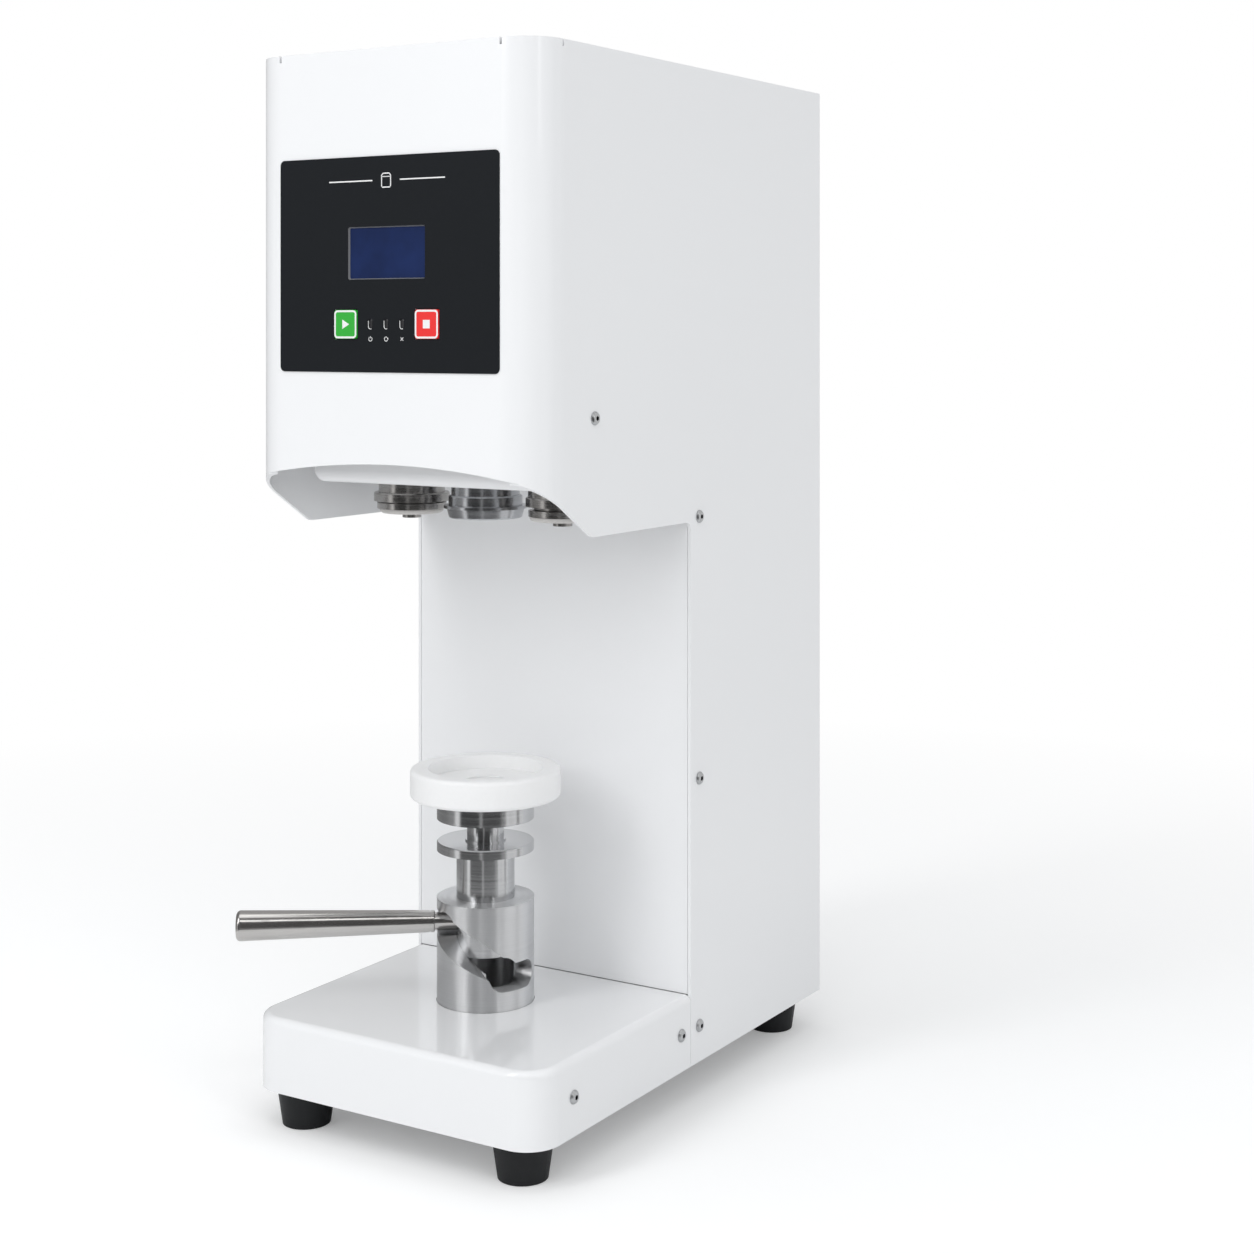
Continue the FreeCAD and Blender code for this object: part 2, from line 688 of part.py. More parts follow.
def side_rod(radius, y, z, side, start, length):
    """A cylinder along X that starts at a wall and runs inwards."""
    thing = rod(radius, 0, length)
    turn(thing, (0, 1, 0), -90 * side)
    return put(thing, as_length(start) * side, y, z)


def side_screws():
    pieces = []
    for side in (-1, 1):
        for y, z in side_screw_places + base_screw_places:
            head = side_rod(S.screw_head, y, z, side, half_width + S.screw_head_thick, S.screw_head_thick)
            shank = side_rod(S.screw_shank, y, z, side, half_width, S.screw_length)
            pieces.append(fused(head, shank))
    group("side_screws", pieces)


def rear_rod(radius, x, z, start, length):
    thing = rod(radius, 0, length)
    turn(thing, (1, 0, 0), 90)
    return put(thing, x, start, z)


def rear_screws():
    pieces = []
    for x, z in rear_screw_places():
        head = rear_rod(S.screw_head, x, z, rear + S.screw_head_thick, S.screw_head_thick)
        pieces.append(fused(head, rear_rod(S.screw_shank, x, z, rear, S.screw_length)))
    group("rear_screws", pieces)


def rubber_feet():
    pieces = []
    for x, y in foot_places:
        foot = doc.addObject("PartDesign::Body", "Foot")
        profile = [(S.bolt_shank, S.bolt_recess), (S.bolt_head * 1.2, S.bolt_recess),
                   (S.bolt_head * 1.2, 0), (S.foot_bottom, 0), (S.foot_top, S.foot_height - 1),
                   (S.foot_top, S.foot_height), (S.bolt_shank, S.foot_height)]
        revolve(foot, profile)
        pieces.append(put(foot, x, y))
    group("rubber_feet", pieces)


def base_bolts():
    """The bolts of the feet and of the lift sleeve, from below."""
    pieces = []
    for x, y in foot_places:
        head = rod(S.bolt_head, S.bolt_recess - S.bolt_head_thick, S.bolt_recess, x, y)
        pieces.append(fused(head, rod(S.bolt_shank, S.bolt_recess, plate_top, x, y)))
    for x, y in sleeve_bolt_places():
        head = rod(S.bolt_head, S.foot_height - S.bolt_head_thick, S.foot_height, x, y)
        shank = rod(S.bolt_shank, S.foot_height, plate_top + S.bolt_recess, x, y)
        pieces.append(fused(head, shank))
    group("base_bolts", pieces)


# ---- can lift ----

def lever_rod(radius, heading, height, start, end):
    """A level cylinder that points away from the can axis at a heading."""
    outer = doc.addObject("Part::Cylinder", "Radial")
    bind(outer, "Radius", radius)
    bind(outer, "Height", as_length(end) - start)
    heading = as_length(heading)
    lie_down = FreeCAD.Rotation(Vec(0, 1, 0), 90)
    outer.Placement = FreeCAD.Placement(Vec(0, 0, 0),
                                        FreeCAD.Rotation(Vec(0, 0, 1), heading.value) * lie_down)
    return put(outer, cos_of(heading) * start, can_y + sin_of(heading) * start, height)


def screw_sweep(start_heading, end_heading, start_height, end_height, half):
    """The space swept by an upright strip that runs down around the can axis."""
    inner = (S.shaft_radius - S.slot_overlap).value
    outer = (S.sleeve_radius + S.sheet).value
    turn_back = end_heading.value - start_heading.value
    drop = start_height.value - end_height.value
    helix = Part.makeHelix(drop * 360 / turn_back, drop, outer, 0, True)
    corners = [Vec(inner, 0, -half.value), Vec(outer, 0, -half.value),
               Vec(outer, 0, half.value), Vec(inner, 0, half.value)]
    strip = Part.makePolygon(corners + corners[:1])
    solid = Part.Wire(helix.Edges).makePipeShell([strip], True, True)
    solid.rotate(Vec(0, 0, 0), Vec(0, 0, 1), end_heading.value)
    solid.translate(Vec(0, can_y.value, end_height.value))
    thing = doc.addObject("Part::Feature", "ScrewSweep")
    thing.Shape = solid
    return thing


def level_sweep(start_heading, end_heading, height, half):
    """A level stretch of slot around the can axis, between two headings."""
    sector = doc.addObject("Part::Cylinder", "LevelSweep")
    bind(sector, "Radius", S.sleeve_radius + S.sheet)
    bind(sector, "Height", half * 2)
    bind(sector, "Angle", end_heading - start_heading)
    turn(sector, (0, 0, 1), start_heading)
    return put(sector, 0, can_y, height - half)


def lift_sleeve():
    """Fixed sleeve. Its slot is level at the top, runs down a ramp and ends in a level rest."""
    blank = rod(S.sleeve_radius, plate_top, S.sleeve_top, 0, can_y)
    bore = rod(S.shaft_radius + S.running_fit, plate_top, S.sleeve_top, 0, can_y)
    body = cut(blank, bore)
    low_height = S.lever_height - S.lift_drop
    low_heading = S.lever_heading + S.lift_turn
    reach = S.lever_neck / cos_of(ramp_angle()) + S.slot_play
    ramp = [(S.lever_heading + turned_by, S.lever_height - fallen) for turned_by, fallen in
            ((S.ramp_start_turn, 0), (S.ramp_bend_turn, S.ramp_bend_drop),
             (S.ramp_end_turn, S.ramp_end_drop))]
    outer = S.sleeve_radius + S.sheet
    inner = S.shaft_radius - S.slot_overlap
    spaces = [
        screw_sweep(S.lever_heading, low_heading, S.lever_height, low_height, reach),
        screw_sweep(ramp[0][0], ramp[1][0], ramp[0][1], ramp[1][1], S.ramp_half),
        screw_sweep(ramp[1][0], ramp[2][0], ramp[1][1], ramp[2][1], S.ramp_half),
        level_sweep(S.lever_heading, ramp[0][0], S.lever_height, S.slot_half),
        level_sweep(ramp[2][0], low_heading + S.latch_turn, low_height, S.slot_half),
        lever_rod(S.slot_half, S.lever_heading, S.lever_height, inner, outer),
        lever_rod(S.slot_half, ramp[2][0], low_height, inner, outer),
        lever_rod(S.slot_half, low_heading + S.latch_turn, low_height, inner, outer),
    ]
    round_end = S.ramp_half - S.running_fit
    spaces += [lever_rod(round_end, heading, height, inner, outer) for heading, height in (ramp[0], ramp[2])]
    for space in spaces:
        body = cut(body, space)
    bolts = fused(*[rod(S.bolt_shank, plate_top, plate_top + S.bolt_recess, x, y)
                    for x, y in sleeve_bolt_places()])
    keep("lift_sleeve", cut(body, bolts))


def ramp_angle():
    """The slope of the lever's path on the middle of the sleeve wall, in degrees."""
    middle = (S.shaft_radius + S.running_fit + S.sleeve_radius) / 2
    path = S.lift_turn * math.pi / 180 * middle
    return Length("atan(%s / %s) / 1 deg" % (S.lift_drop.text, path.text),
                  math.degrees(math.atan(S.lift_drop.value / path.value)))


def lift_shaft():
    high = S.shaft_top
    blank = rod(S.shaft_radius, S.shaft_low, high, 0, can_y)
    thread = rod(S.stud_radius, high - S.stud_depth, high, 0, can_y)
    hole = lever_rod(S.lever_neck, S.lever_heading, S.lever_height, S.lever_insert,
                     S.shaft_radius + S.running_fit)
    keep("lift_shaft", cut(blank, fused(thread, hole)))


def lift_handle():
    """Tapered steel lever, screwed into the lift shaft through the sleeve's slot."""
    body = new_body("lift_handle")
    end = S.lever_length
    start = S.lever_root_start
    groove = start + S.lever_groove_place
    floor = S.lever_root - S.lever_groove
    profile = [(0, S.lever_insert), (S.lever_neck, S.lever_insert), (S.lever_neck, start),
               (floor, start), (S.lever_root, start + S.lever_groove), (S.lever_root, groove),
               (floor, groove), (floor, groove + S.lever_groove), (S.lever_root, groove + S.lever_groove),
               (S.lever_end, end), (0, end)]
    revolve(body, profile)
    soften(body, S.lever_end_round, ring_at(S.lever_end, end))
    heading = S.lever_heading
    lie_down = FreeCAD.Rotation(Vec(0, 1, 0), 90)
    body.Placement = FreeCAD.Placement(Vec(0, 0, 0),
                                       FreeCAD.Rotation(Vec(0, 0, 1), heading.value) * lie_down)
    put(body, 0, can_y, S.lever_height)


def lift_head():
    """Lock disc, height stud, platen and its bearing."""
    disc_top = S.shaft_top + S.disc_thick
    body = turned("lock_disc", ring(S.stud_radius, S.disc_radius, S.shaft_top, disc_top), 0, can_y)
    soften(body, S.disc_thick / 8, ring_at(S.disc_radius, disc_top), kind="Chamfer")
    bearing_low = S.platen_low + S.pan_sheet
    bearing_high = bearing_low + S.bearing_width
    stud_low = S.shaft_top - S.stud_depth + S.end_gap
    turned("lift_stud", [(0, stud_low), (S.stud_radius, stud_low), (S.stud_radius, disc_top),
                         (S.stud_shoulder, disc_top), (S.stud_shoulder, disc_top + S.shoulder_height),
                         (S.stud_radius, disc_top + S.shoulder_height),
                         (S.stud_radius, S.platen_low - S.tray_gap),
                         (S.journal_radius, S.platen_low - S.tray_gap),
                         (S.journal_radius, bearing_high), (0, bearing_high)], 0, can_y)
    turned("platen_bearing", ring(S.journal_radius + S.running_fit, S.bearing_radius,
                                  bearing_low, bearing_high), 0, can_y)
    platen_top = S.platen_low + S.platen_thick
    mouth = S.journal_radius + S.end_gap
    turned("platen", [(mouth, S.platen_low), (S.platen_radius, S.platen_low),
                      (S.platen_radius, platen_top), (S.spigot_radius, platen_top),
                      (S.spigot_radius, platen_top + S.spigot_height),
                      (S.bolt_shank, platen_top + S.spigot_height), (S.bolt_shank, bearing_high + S.end_gap),
                      (S.journal_radius, bearing_high + S.end_gap), (S.journal_radius, bearing_high),
                      (S.bearing_radius, bearing_high), (S.bearing_radius, bearing_low),
                      (mouth, bearing_low)], 0, can_y)


def can_tray():
    """Moulded nylon tray with a recess for the can's base."""
    low = S.platen_low + S.platen_thick + S.tray_gap
    top = low + S.tray_thick
    floor = top - S.seat_depth
    seat = S.can_radius + S.can_play
    washer = S.spigot_radius + S.tray_round + S.can_play
    washer_low = S.platen_low + S.platen_thick + S.spigot_height
    bore = S.spigot_radius + S.running_fit
    body = turned("can_tray", [(bore, low), (S.tray_radius, low), (S.tray_radius, top), (seat, top),
                               (seat, floor), (washer, floor), (washer, washer_low),
                               (bore, washer_low)], 0, can_y)
    soften(body, S.tray_round, ring_at(S.tray_radius, top), ring_at(S.tray_radius, low))
    soften(body, S.tray_round / 3, ring_at(seat, top))
    head_low = washer_low + S.tray_gap
    head_top = head_low + S.disc_thick / 3
    screw_low = S.platen_low + S.pan_sheet + S.bearing_width + S.end_gap * 1.5
    turned("tray_screw", [(0, screw_low), (S.bolt_shank, screw_low), (S.bolt_shank, washer_low),
                          (S.spigot_radius, washer_low), (S.spigot_radius, head_low),
                          (S.spigot_radius + S.tray_round, head_low),
                          (S.spigot_radius + S.tray_round, head_top), (0, head_top)], 0, can_y)


# ---- spindle and chuck ----

def spindle_group():
    housing_low = head_plate_low - S.housing_drop
    flange_top = S.head_plate_top + S.housing_flange_thick
    turned("spindle_housing", [(S.spindle_bearing, housing_low), (S.housing_radius, housing_low),
                               (S.housing_radius, S.head_plate_top), (S.housing_flange, S.head_plate_top),
                               (S.housing_flange, flange_top), (S.spindle_bearing, flange_top)],
           0, can_y)
    lower = housing_low + S.sheet
    upper = flange_top - S.sheet - S.spindle_bearing_width
    rings = []
    for low in (lower, upper):
        outer = rod(S.spindle_bearing, low, low + S.spindle_bearing_width, 0, can_y)
        inner = rod(S.spindle_radius + S.running_fit, low, low + S.spindle_bearing_width, 0, can_y)
        rings.append(cut(outer, inner))
    group("spindle_bearings", rings)
    nose_top = S.chuck_low + S.chuck_nose_height
    flange_high = nose_top + S.chuck_flange_thick
    body_top = flange_high + S.chuck_body_thick
    chuck_top = body_top + S.chuck_hub_thick
    nut_top = S.pulley_low + S.pulley_width + S.housing_flange_thick
    turned("spindle", [(0, chuck_top), (S.collar_radius, chuck_top),
                       (S.collar_radius, lower - S.seam_gap), (S.spindle_radius, lower - S.seam_gap),
                       (S.spindle_radius, S.pulley_low + S.pulley_width),
                       (S.collar_radius, S.pulley_low + S.pulley_width),
                       (S.collar_radius, nut_top), (0, nut_top)], 0, can_y)
    dish = S.chuck_nose * 0.62
    body = turned("seaming_chuck", [(0, S.chuck_low + S.sheet), (dish, S.chuck_low + S.sheet),
                                    (dish, S.chuck_low), (S.chuck_nose_tip, S.chuck_low),
                                    (S.chuck_nose, nose_top), (S.chuck_flange, nose_top),
                                    (S.chuck_flange, flange_high), (S.chuck_body, flange_high),
                                    (S.chuck_body, body_top), (S.chuck_hub, body_top),
                                    (S.chuck_hub, chuck_top), (0, chuck_top)], 0, can_y)
    soften(body, S.chuck_nose_round, ring_at(S.chuck_nose_tip, S.chuck_low))
    soften(body, S.chuck_body_round, ring_at(S.chuck_body, body_top), kind="Chamfer")


def pulley(label, radius, bore, y):
    low = S.pulley_low
    high = low + S.pulley_width
    rim = radius + S.rim_height
    turned(label, [(bore, low), (rim, low), (rim, low + S.pulley_rim), (radius, low + S.pulley_rim),
                   (radius, high - S.pulley_rim), (rim, high - S.pulley_rim), (rim, high),
                   (bore, high)], 0, y)


def belt_hull(driven, driver, low, high):
    """The outline round both pulleys, as one solid."""
    span = motor_y - can_y
    rise = (driven - driver) / span
    level = root(as_length(1) - rise * rise)
    corners = [(-(driven * level), can_y + driven * rise), (-(driver * level), motor_y + driver * rise),
               (driver * level, motor_y + driver * rise), (driven * level, can_y + driven * rise)]
    web = doc.addObject("PartDesign::Body", "Web")
    pad(web, "XY", [corners], low, high)
    return fused(web, rod(driven, low, high, 0, can_y), rod(driver, low, high, 0, motor_y))


def belt_drive():
    pulley("driven_pulley", S.driven_radius, S.spindle_radius, can_y)
    pulley("motor_pulley", S.driver_radius, S.motor_shaft, motor_y)
    low = S.pulley_low + S.pulley_rim + S.belt_gap
    high = S.pulley_low + S.pulley_width - S.pulley_rim - S.belt_gap
    near = S.belt_gap
    far = S.belt_gap + S.belt_thick
    outer = belt_hull(S.driven_radius + far, S.driver_radius + far, low, high)
    inner = belt_hull(S.driven_radius + near, S.driver_radius + near, low, high)
    keep("drive_belt", cut(outer, inner))


def drive_motor():
    top = head_plate_low
    low = top - S.motor_length
    bore = S.motor_shaft + S.running_fit
    neck = S.motor_radius * 0.6
    step = S.motor_length * 0.12
    body = turned("drive_motor", [(0, low), (S.motor_radius * 0.9, low), (S.motor_radius, low + step / 2),
                                  (S.motor_radius, top - step), (neck, top - step), (neck, top),
                                  (bore, top), (bore, top - step * 2), (0, top - step * 2)],
                  0, motor_y)
    soften(body, S.sheet, ring_at(S.motor_radius, top - step))
    turned("motor_shaft", ring(0, S.motor_shaft, top - step * 2 + 1,
                               S.pulley_low + S.pulley_width + S.sheet), 0, motor_y)


# ---- rollers, arms and cam ----

def bar_between(x1, y1, x2, y2, width, low, high):
    """A flat bar between two places, as a polygon of the given width."""
    span_x = as_length(x2) - x1
    span_y = as_length(y2) - y1
    span = root(span_x * span_x + span_y * span_y)
    across_x = span_y / span * (width / 2)
    across_y = span_x / span * (width / 2)
    bar = doc.addObject("PartDesign::Body", "Bar")
    corners = [(x1 - across_x, y1 + across_y), (x2 - across_x, y2 + across_y),
               (x2 + across_x, y2 - across_y), (x1 + across_x, y1 - across_y)]
    return pad(bar, "XY", [corners], low, high)


def roller_arm(label, side):
    """Lever with its pivot in the middle, the roller in front and the cam follower behind."""
    low = S.arm_low
    high = low + S.arm_thick
    pivot_x = S.pivot_x * side
    roller_x = S.roller_reach * side
    tail = S.follower_radius
    body = fused(
        rod(S.arm_hub, low, high, pivot_x, pivot_y),
        rod(S.arm_hub * 0.9, low, high, roller_x, can_y),
        rod(tail, low, high, pivot_x, cam_y),
        bar_between(pivot_x, pivot_y, roller_x, can_y, S.arm_width, low, high),
        bar_between(pivot_x, pivot_y, pivot_x, cam_y, tail * 2, low, high),
    )
    holes = fused(
        rod(S.pivot_radius + S.running_fit, low, high, pivot_x, pivot_y),
        rod(S.roller_pin, low, high, roller_x, can_y),
        rod(S.follower_pin, low, high, pivot_x, cam_y),
    )
    keep(label, cut(body, holes))


def pivot_pins():
    pieces = []
    for side in (-1, 1):
        x = S.pivot_x * side
        head_top = S.arm_low - S.seam_gap
        head = rod(S.pivot_radius * 1.4, head_top - S.sheet, head_top, x, pivot_y)
        pieces.append(fused(head, rod(S.pivot_radius, head_top, S.head_plate_top, x, pivot_y)))
    group("pivot_pins", pieces)


def cam_follower(label, side):
    low = S.arm_low - S.seam_gap - S.cam_thick
    turned(label, [(0, low), (S.follower_radius, low), (S.follower_radius, S.arm_low - S.seam_gap),
                   (S.follower_pin, S.arm_low - S.seam_gap), (S.follower_pin, S.arm_low + S.arm_thick),
                   (0, S.arm_low + S.arm_thick)], S.pivot_x * side, cam_y)


def seaming_roller(label, side, flange, ring_radius, groove):
    """Hardened roller: a ring below, the seaming groove, a flange and a hub above."""
    bore = S.roller_pin + S.running_fit
    ring_top = S.roller_low + S.ring_thick
    groove_top = ring_top + groove
    flange_top = groove_top + S.flange_thick
    neck = ring_radius - S.groove_depth
    body = turned(label, [(bore, S.roller_low), (ring_radius, S.roller_low), (ring_radius, ring_top),
                          (neck, ring_top + groove / 4), (neck, groove_top - groove / 4),
                          (flange, groove_top), (flange, flange_top), (S.roller_hub, flange_top),
                          (S.roller_hub, S.roller_top), (bore, S.roller_top)],
                  S.roller_reach * side, can_y)
    soften(body, S.ring_thick / 6, ring_at(flange, flange_top), kind="Chamfer")


def roller_pin(label, side):
    """Shoulder pin: nut below the cap, spacer between roller and arm."""
    cap_low = S.roller_low - S.tray_gap - S.cap_thick
    nut_low = cap_low - S.nut_thick
    spacer_low = S.roller_top + S.tray_gap
    high = S.arm_low + S.arm_thick
    turned(label, [(0, nut_low), (S.nut_radius, nut_low), (S.nut_radius, cap_low), (S.roller_pin, cap_low),
                   (S.roller_pin, spacer_low), (S.spacer_radius, spacer_low),
                   (S.spacer_radius, S.arm_low), (S.roller_pin, S.arm_low), (S.roller_pin, high),
                   (0, high)], S.roller_reach * side, can_y)


def roller_cap(label, side):
    high = S.roller_low - S.tray_gap
    low = high - S.cap_thick
    body = turned(label, ring(S.roller_pin, S.cap_radius, low, high), S.roller_reach * side, can_y)
    soften(body, S.cap_round, ring_at(S.cap_radius, low))


NOTCH_HEADING = 90
HALF_TURN = 180
FLANK_STEPS = 12


def cam_radius(from_notch):
    """Heart cam: the radius grows evenly with the angle from the notch, on both flanks alike."""
    stroke = S.roller_stroke.value * S.cam_lever.value / S.roller_lever.value
    mean = S.pivot_x.value - S.follower_radius.value - S.cam_gap.value
    return mean - stroke * (HALF_TURN / 2 - from_notch) / S.cam_turn.value


def cam_disc():
    flanks = []
    for side in (1, -1):
        points = []
        for step in range(FLANK_STEPS + 1):
            from_notch = HALF_TURN * step / FLANK_STEPS
            angle = math.radians(NOTCH_HEADING + side * from_notch)
            radius = cam_radius(from_notch)
            points.append(Vec(radius * math.cos(angle), radius * math.sin(angle), 0))
        curve = Part.BSplineCurve()
        curve.interpolate(points)
        flanks.append(curve.toShape())
    face = Part.Face(Part.Wire(flanks))
    solid = face.extrude(Vec(0, 0, S.cam_thick.value))
    hole = Part.makeCylinder(S.cam_shaft.value, S.cam_thick.value)
    disc = doc.addObject("Part::Feature", "CamDisc")
    disc.Shape = solid.cut(hole)
    put(disc, 0, cam_y, S.arm_low - S.seam_gap - S.cam_thick)
    keep("cam_disc", disc)


def cam_drive():
    cam_low = S.arm_low - S.seam_gap - S.cam_thick
    reach = S.head_plate_top + S.cam_thick
    keep("cam_shaft", rod(S.cam_shaft, cam_low, reach, 0, cam_y))
    top = S.head_plate_top + S.cam_motor_length
    bore = S.cam_shaft + S.running_fit
    gearbox = S.head_plate_top + S.cam_motor_length * 0.4
    can = S.cam_motor_radius * 0.9
    turned("cam_motor", [(bore, S.head_plate_top), (S.cam_motor_radius, S.head_plate_top),
                         (S.cam_motor_radius, gearbox), (can, gearbox), (can, top), (0, top),
                         (0, reach + 1), (bore, reach + 1)], 0, cam_y)


# ---- power entry ----

def power_inlet():
    """Recessed three-pin mains inlet."""
    half = S.inlet_width / 2
    tall = S.inlet_height / 2
    wall = S.sheet
    outline = box_loop(S.inlet_x - half, S.inlet_x + half, S.inlet_z - tall, S.inlet_z + tall)
    body = prism("power_inlet", "XZ", [outline], back_inner - S.inlet_height, rear)
    rim = S.screw_head_thick
    flange = box_loop(S.inlet_x - half - rim, S.inlet_x + half + rim,
                      S.inlet_z - tall - rim, S.inlet_z + tall + rim)
    pad(body, "XZ", [flange], rear, rear + rim)
    recess = box_loop(S.inlet_x - half + wall, S.inlet_x + half - wall,
                      S.inlet_z - tall + wall, S.inlet_z + tall - wall)
    depth = S.inlet_height * 0.8
    pocket(body, "XZ", [recess], rear + rim - depth, rear + rim)
    pins = []
    for dx, dz in ((-1, -0.25), (0, 0.35), (1, -0.25)):
        x = S.inlet_x + S.inlet_width * 0.22 * dx
        z = S.inlet_z + S.inlet_height * 0.4 * dz
        pins.append(box_loop(x - 1, x + 1, z - 2, z + 2))
    pad(body, "XZ", pins, rear + rim - depth, rear + rim - S.pin_recess)


def power_switch():
    half = S.switch_width / 2
    tall = S.switch_height / 2
    outline = box_loop(S.inlet_x - half, S.inlet_x + half, S.switch_z - tall, S.switch_z + tall)
    frame = prism("switch_frame", "XZ", [outline], back_inner - S.switch_height, rear)
    rim = S.screw_head_thick
    flange = box_loop(S.inlet_x - half - rim, S.inlet_x + half + rim,
                      S.switch_z - tall - rim, S.switch_z + tall + rim)
    pad(frame, "XZ", [flange], rear, rear + rim)
    wall = S.panel_thick * 2
    well = box_loop(S.inlet_x - half + wall, S.inlet_x + half - wall,
                    S.switch_z - tall + wall, S.switch_z + tall - wall)
    pocket(frame, "XZ", [well], back_inner - S.switch_height / 2, rear + rim)
    play = wall + S.button_gap
    reach = half - play
    edge = tall - play - rim / 3
    profile = [(-rim * 0.6, -edge * 0.6), (rim * 1.6, -edge), (rim * 1.2, 0), (rim * 1.6, edge),
               (-rim * 0.6, edge * 0.6)]
    rocker = prism("switch_rocker", "YZ", [profile], -reach, reach)
    turn(rocker, (1, 0, 0), S.rocker_tilt)
    put(rocker, S.inlet_x, rear - rim / 2, S.switch_z)


def fuse_holder():
    x = -S.inlet_x
    rim = S.screw_head_thick
    body = rear_rod(S.fuse_radius, x, S.fuse_z, rear, S.inlet_height)
    cap = rear_rod(S.fuse_radius * 1.25, x, S.fuse_z, rear + rim * 2, rim * 2)
    keep("fuse_holder", fused(body, cap))


def power_supply():
    """Caged power supply on the base plate, with a folded cover."""
    half = S.supply_length / 2
    back = back_inner - S.inlet_height * 1.8
    low = plate_top
    body = prism("power_supply", "XY", [box_loop(-half, half, back - S.supply_width, back)],
                 low, low + S.supply_height)
    vents = []
    for row in range(6):
        y = back - S.supply_width * 0.8 + S.louvre_pitch * row
        vents.append(box_loop(-half * 0.6, half * 0.6, y, y + S.louvre_height))
    pocket(body, "XY", vents, low + S.supply_height - S.sheet, low + S.supply_height)


# ---- build, check and write ----

housing_shell()
top_cover()
column_plate()
base_cover()
rear_cover()
base_plate()
frame_side("frame_side_left", -1)
frame_side("frame_side_right", 1)
head_plate()
base_blocks()
head_pan()
control_panel()
display()
led_lenses()
button("start_button", -S.button_reach)
button("stop_button", S.button_reach)
control_board()
side_screws()
rear_screws()
rubber_feet()
base_bolts()
lift_sleeve()
lift_shaft()
lift_handle()
lift_head()
can_tray()
spindle_group()
belt_drive()
drive_motor()
for side, word in ((-1, "left"), (1, "right")):
    roller_arm("roller_arm_" + word, side)
    cam_follower("cam_follower_" + word, side)
    roller_pin("roller_pin_" + word, side)
    roller_cap("roller_cap_" + word, side)
seaming_roller("first_roller", -1, S.first_flange, S.first_ring, S.first_groove)
seaming_roller("second_roller", 1, S.second_flange, S.second_ring, S.second_groove)
pivot_pins()
cam_disc()
cam_drive()
power_inlet()
power_switch()
fuse_holder()
power_supply()

doc.recompute()
for thing in doc.Objects:
    if "Invalid" in thing.State or "Error" in thing.State:
        raise ValueError("%s is in state %s" % (thing.Label, thing.State))

os.makedirs("parts", exist_ok=True)
for label, thing in parts.items():
    shape = thing.Shape
    if shape.isNull() or not shape.isValid() or shape.Volume <= 0:
        raise ValueError("%s has no valid solid" % label)
    shape.exportStep(os.path.join("parts", label + ".step"))
    print(label, len(shape.Solids), round(shape.Volume))
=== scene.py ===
import json
import math

import bmesh
import bpy
from mathutils import Matrix, Vector


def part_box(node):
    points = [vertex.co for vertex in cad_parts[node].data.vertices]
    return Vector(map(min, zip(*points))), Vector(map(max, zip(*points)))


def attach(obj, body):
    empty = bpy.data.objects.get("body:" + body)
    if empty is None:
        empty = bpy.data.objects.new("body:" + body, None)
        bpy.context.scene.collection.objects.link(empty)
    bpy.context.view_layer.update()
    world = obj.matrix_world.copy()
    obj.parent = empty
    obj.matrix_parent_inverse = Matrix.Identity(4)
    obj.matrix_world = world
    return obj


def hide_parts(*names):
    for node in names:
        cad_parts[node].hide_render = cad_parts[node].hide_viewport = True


# Looks of a tabletop can seamer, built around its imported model. Metres; +Z up, -Y is the front.

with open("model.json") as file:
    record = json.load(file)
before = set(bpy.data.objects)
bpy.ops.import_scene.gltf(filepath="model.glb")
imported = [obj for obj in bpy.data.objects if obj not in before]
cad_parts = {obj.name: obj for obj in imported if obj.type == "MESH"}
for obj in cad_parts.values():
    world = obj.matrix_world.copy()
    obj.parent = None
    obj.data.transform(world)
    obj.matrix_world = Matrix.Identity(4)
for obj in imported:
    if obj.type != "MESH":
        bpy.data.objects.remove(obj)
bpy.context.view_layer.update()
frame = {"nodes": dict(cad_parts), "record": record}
nodes = frame["nodes"]
MM = 0.001
CAN_Y = -0.072
ROLLER_X = 0.054
LEVER_HEADING = math.radians(216.7)
CAMERA_AT = (0.71269, -1.07203, 0.45440)
CAMERA_HEADING = math.radians(31.61)
CAMERA_LENS = 60.09
CAMERA_SHIFT = -0.2362


# ---------------------------------------------------------------- shader nodes

def add(tree, kind, **values):
    """A node whose inputs are set by name or as i0, i1; p_ sets a property; a socket is linked."""
    node = tree.nodes.new(kind)
    for key, value in values.items():
        if key.startswith("p_"):
            setattr(node, key[2:], value)
            continue
        name = int(key[1:]) if key[0] == "i" and key[1:].isdigit() else key.replace("_", " ")
        socket = node.inputs[name]
        if isinstance(value, bpy.types.NodeSocket):
            tree.links.new(value, socket)
        else:
            socket.default_value = value
    return node


def new_material(name, color, roughness, metallic=0.0, **sockets):
    """A Principled material; sockets are named with underscores, as in Coat_Weight=0.3."""
    made = bpy.data.materials.new(name)
    made.use_nodes = True
    shader = made.node_tree.nodes["Principled BSDF"]
    shader.inputs["Base Color"].default_value = (*color, 1)
    shader.inputs["Roughness"].default_value = roughness
    shader.inputs["Metallic"].default_value = metallic
    for key, value in sockets.items():
        shader.inputs[key.replace("_", " ")].default_value = value
    return made, made.node_tree, shader


def place(tree):
    """The point on the piece at rest, in metres."""
    return add(tree, "ShaderNodeTexCoord").outputs["Object"]


def noise(tree, vector, scale, detail=2.0, roughness=0.5):
    return add(tree, "ShaderNodeTexNoise", Vector=vector, Scale=scale, Detail=detail,
               Roughness=roughness).outputs["Fac"]


def spread(tree, value, low, high):
    """Maps a noise value of about 0.3 to 0.7 on to low to high."""
    return add(tree, "ShaderNodeMapRange", Value=value, i1=0.3, i2=0.7, i3=low, i4=high).outputs[0]


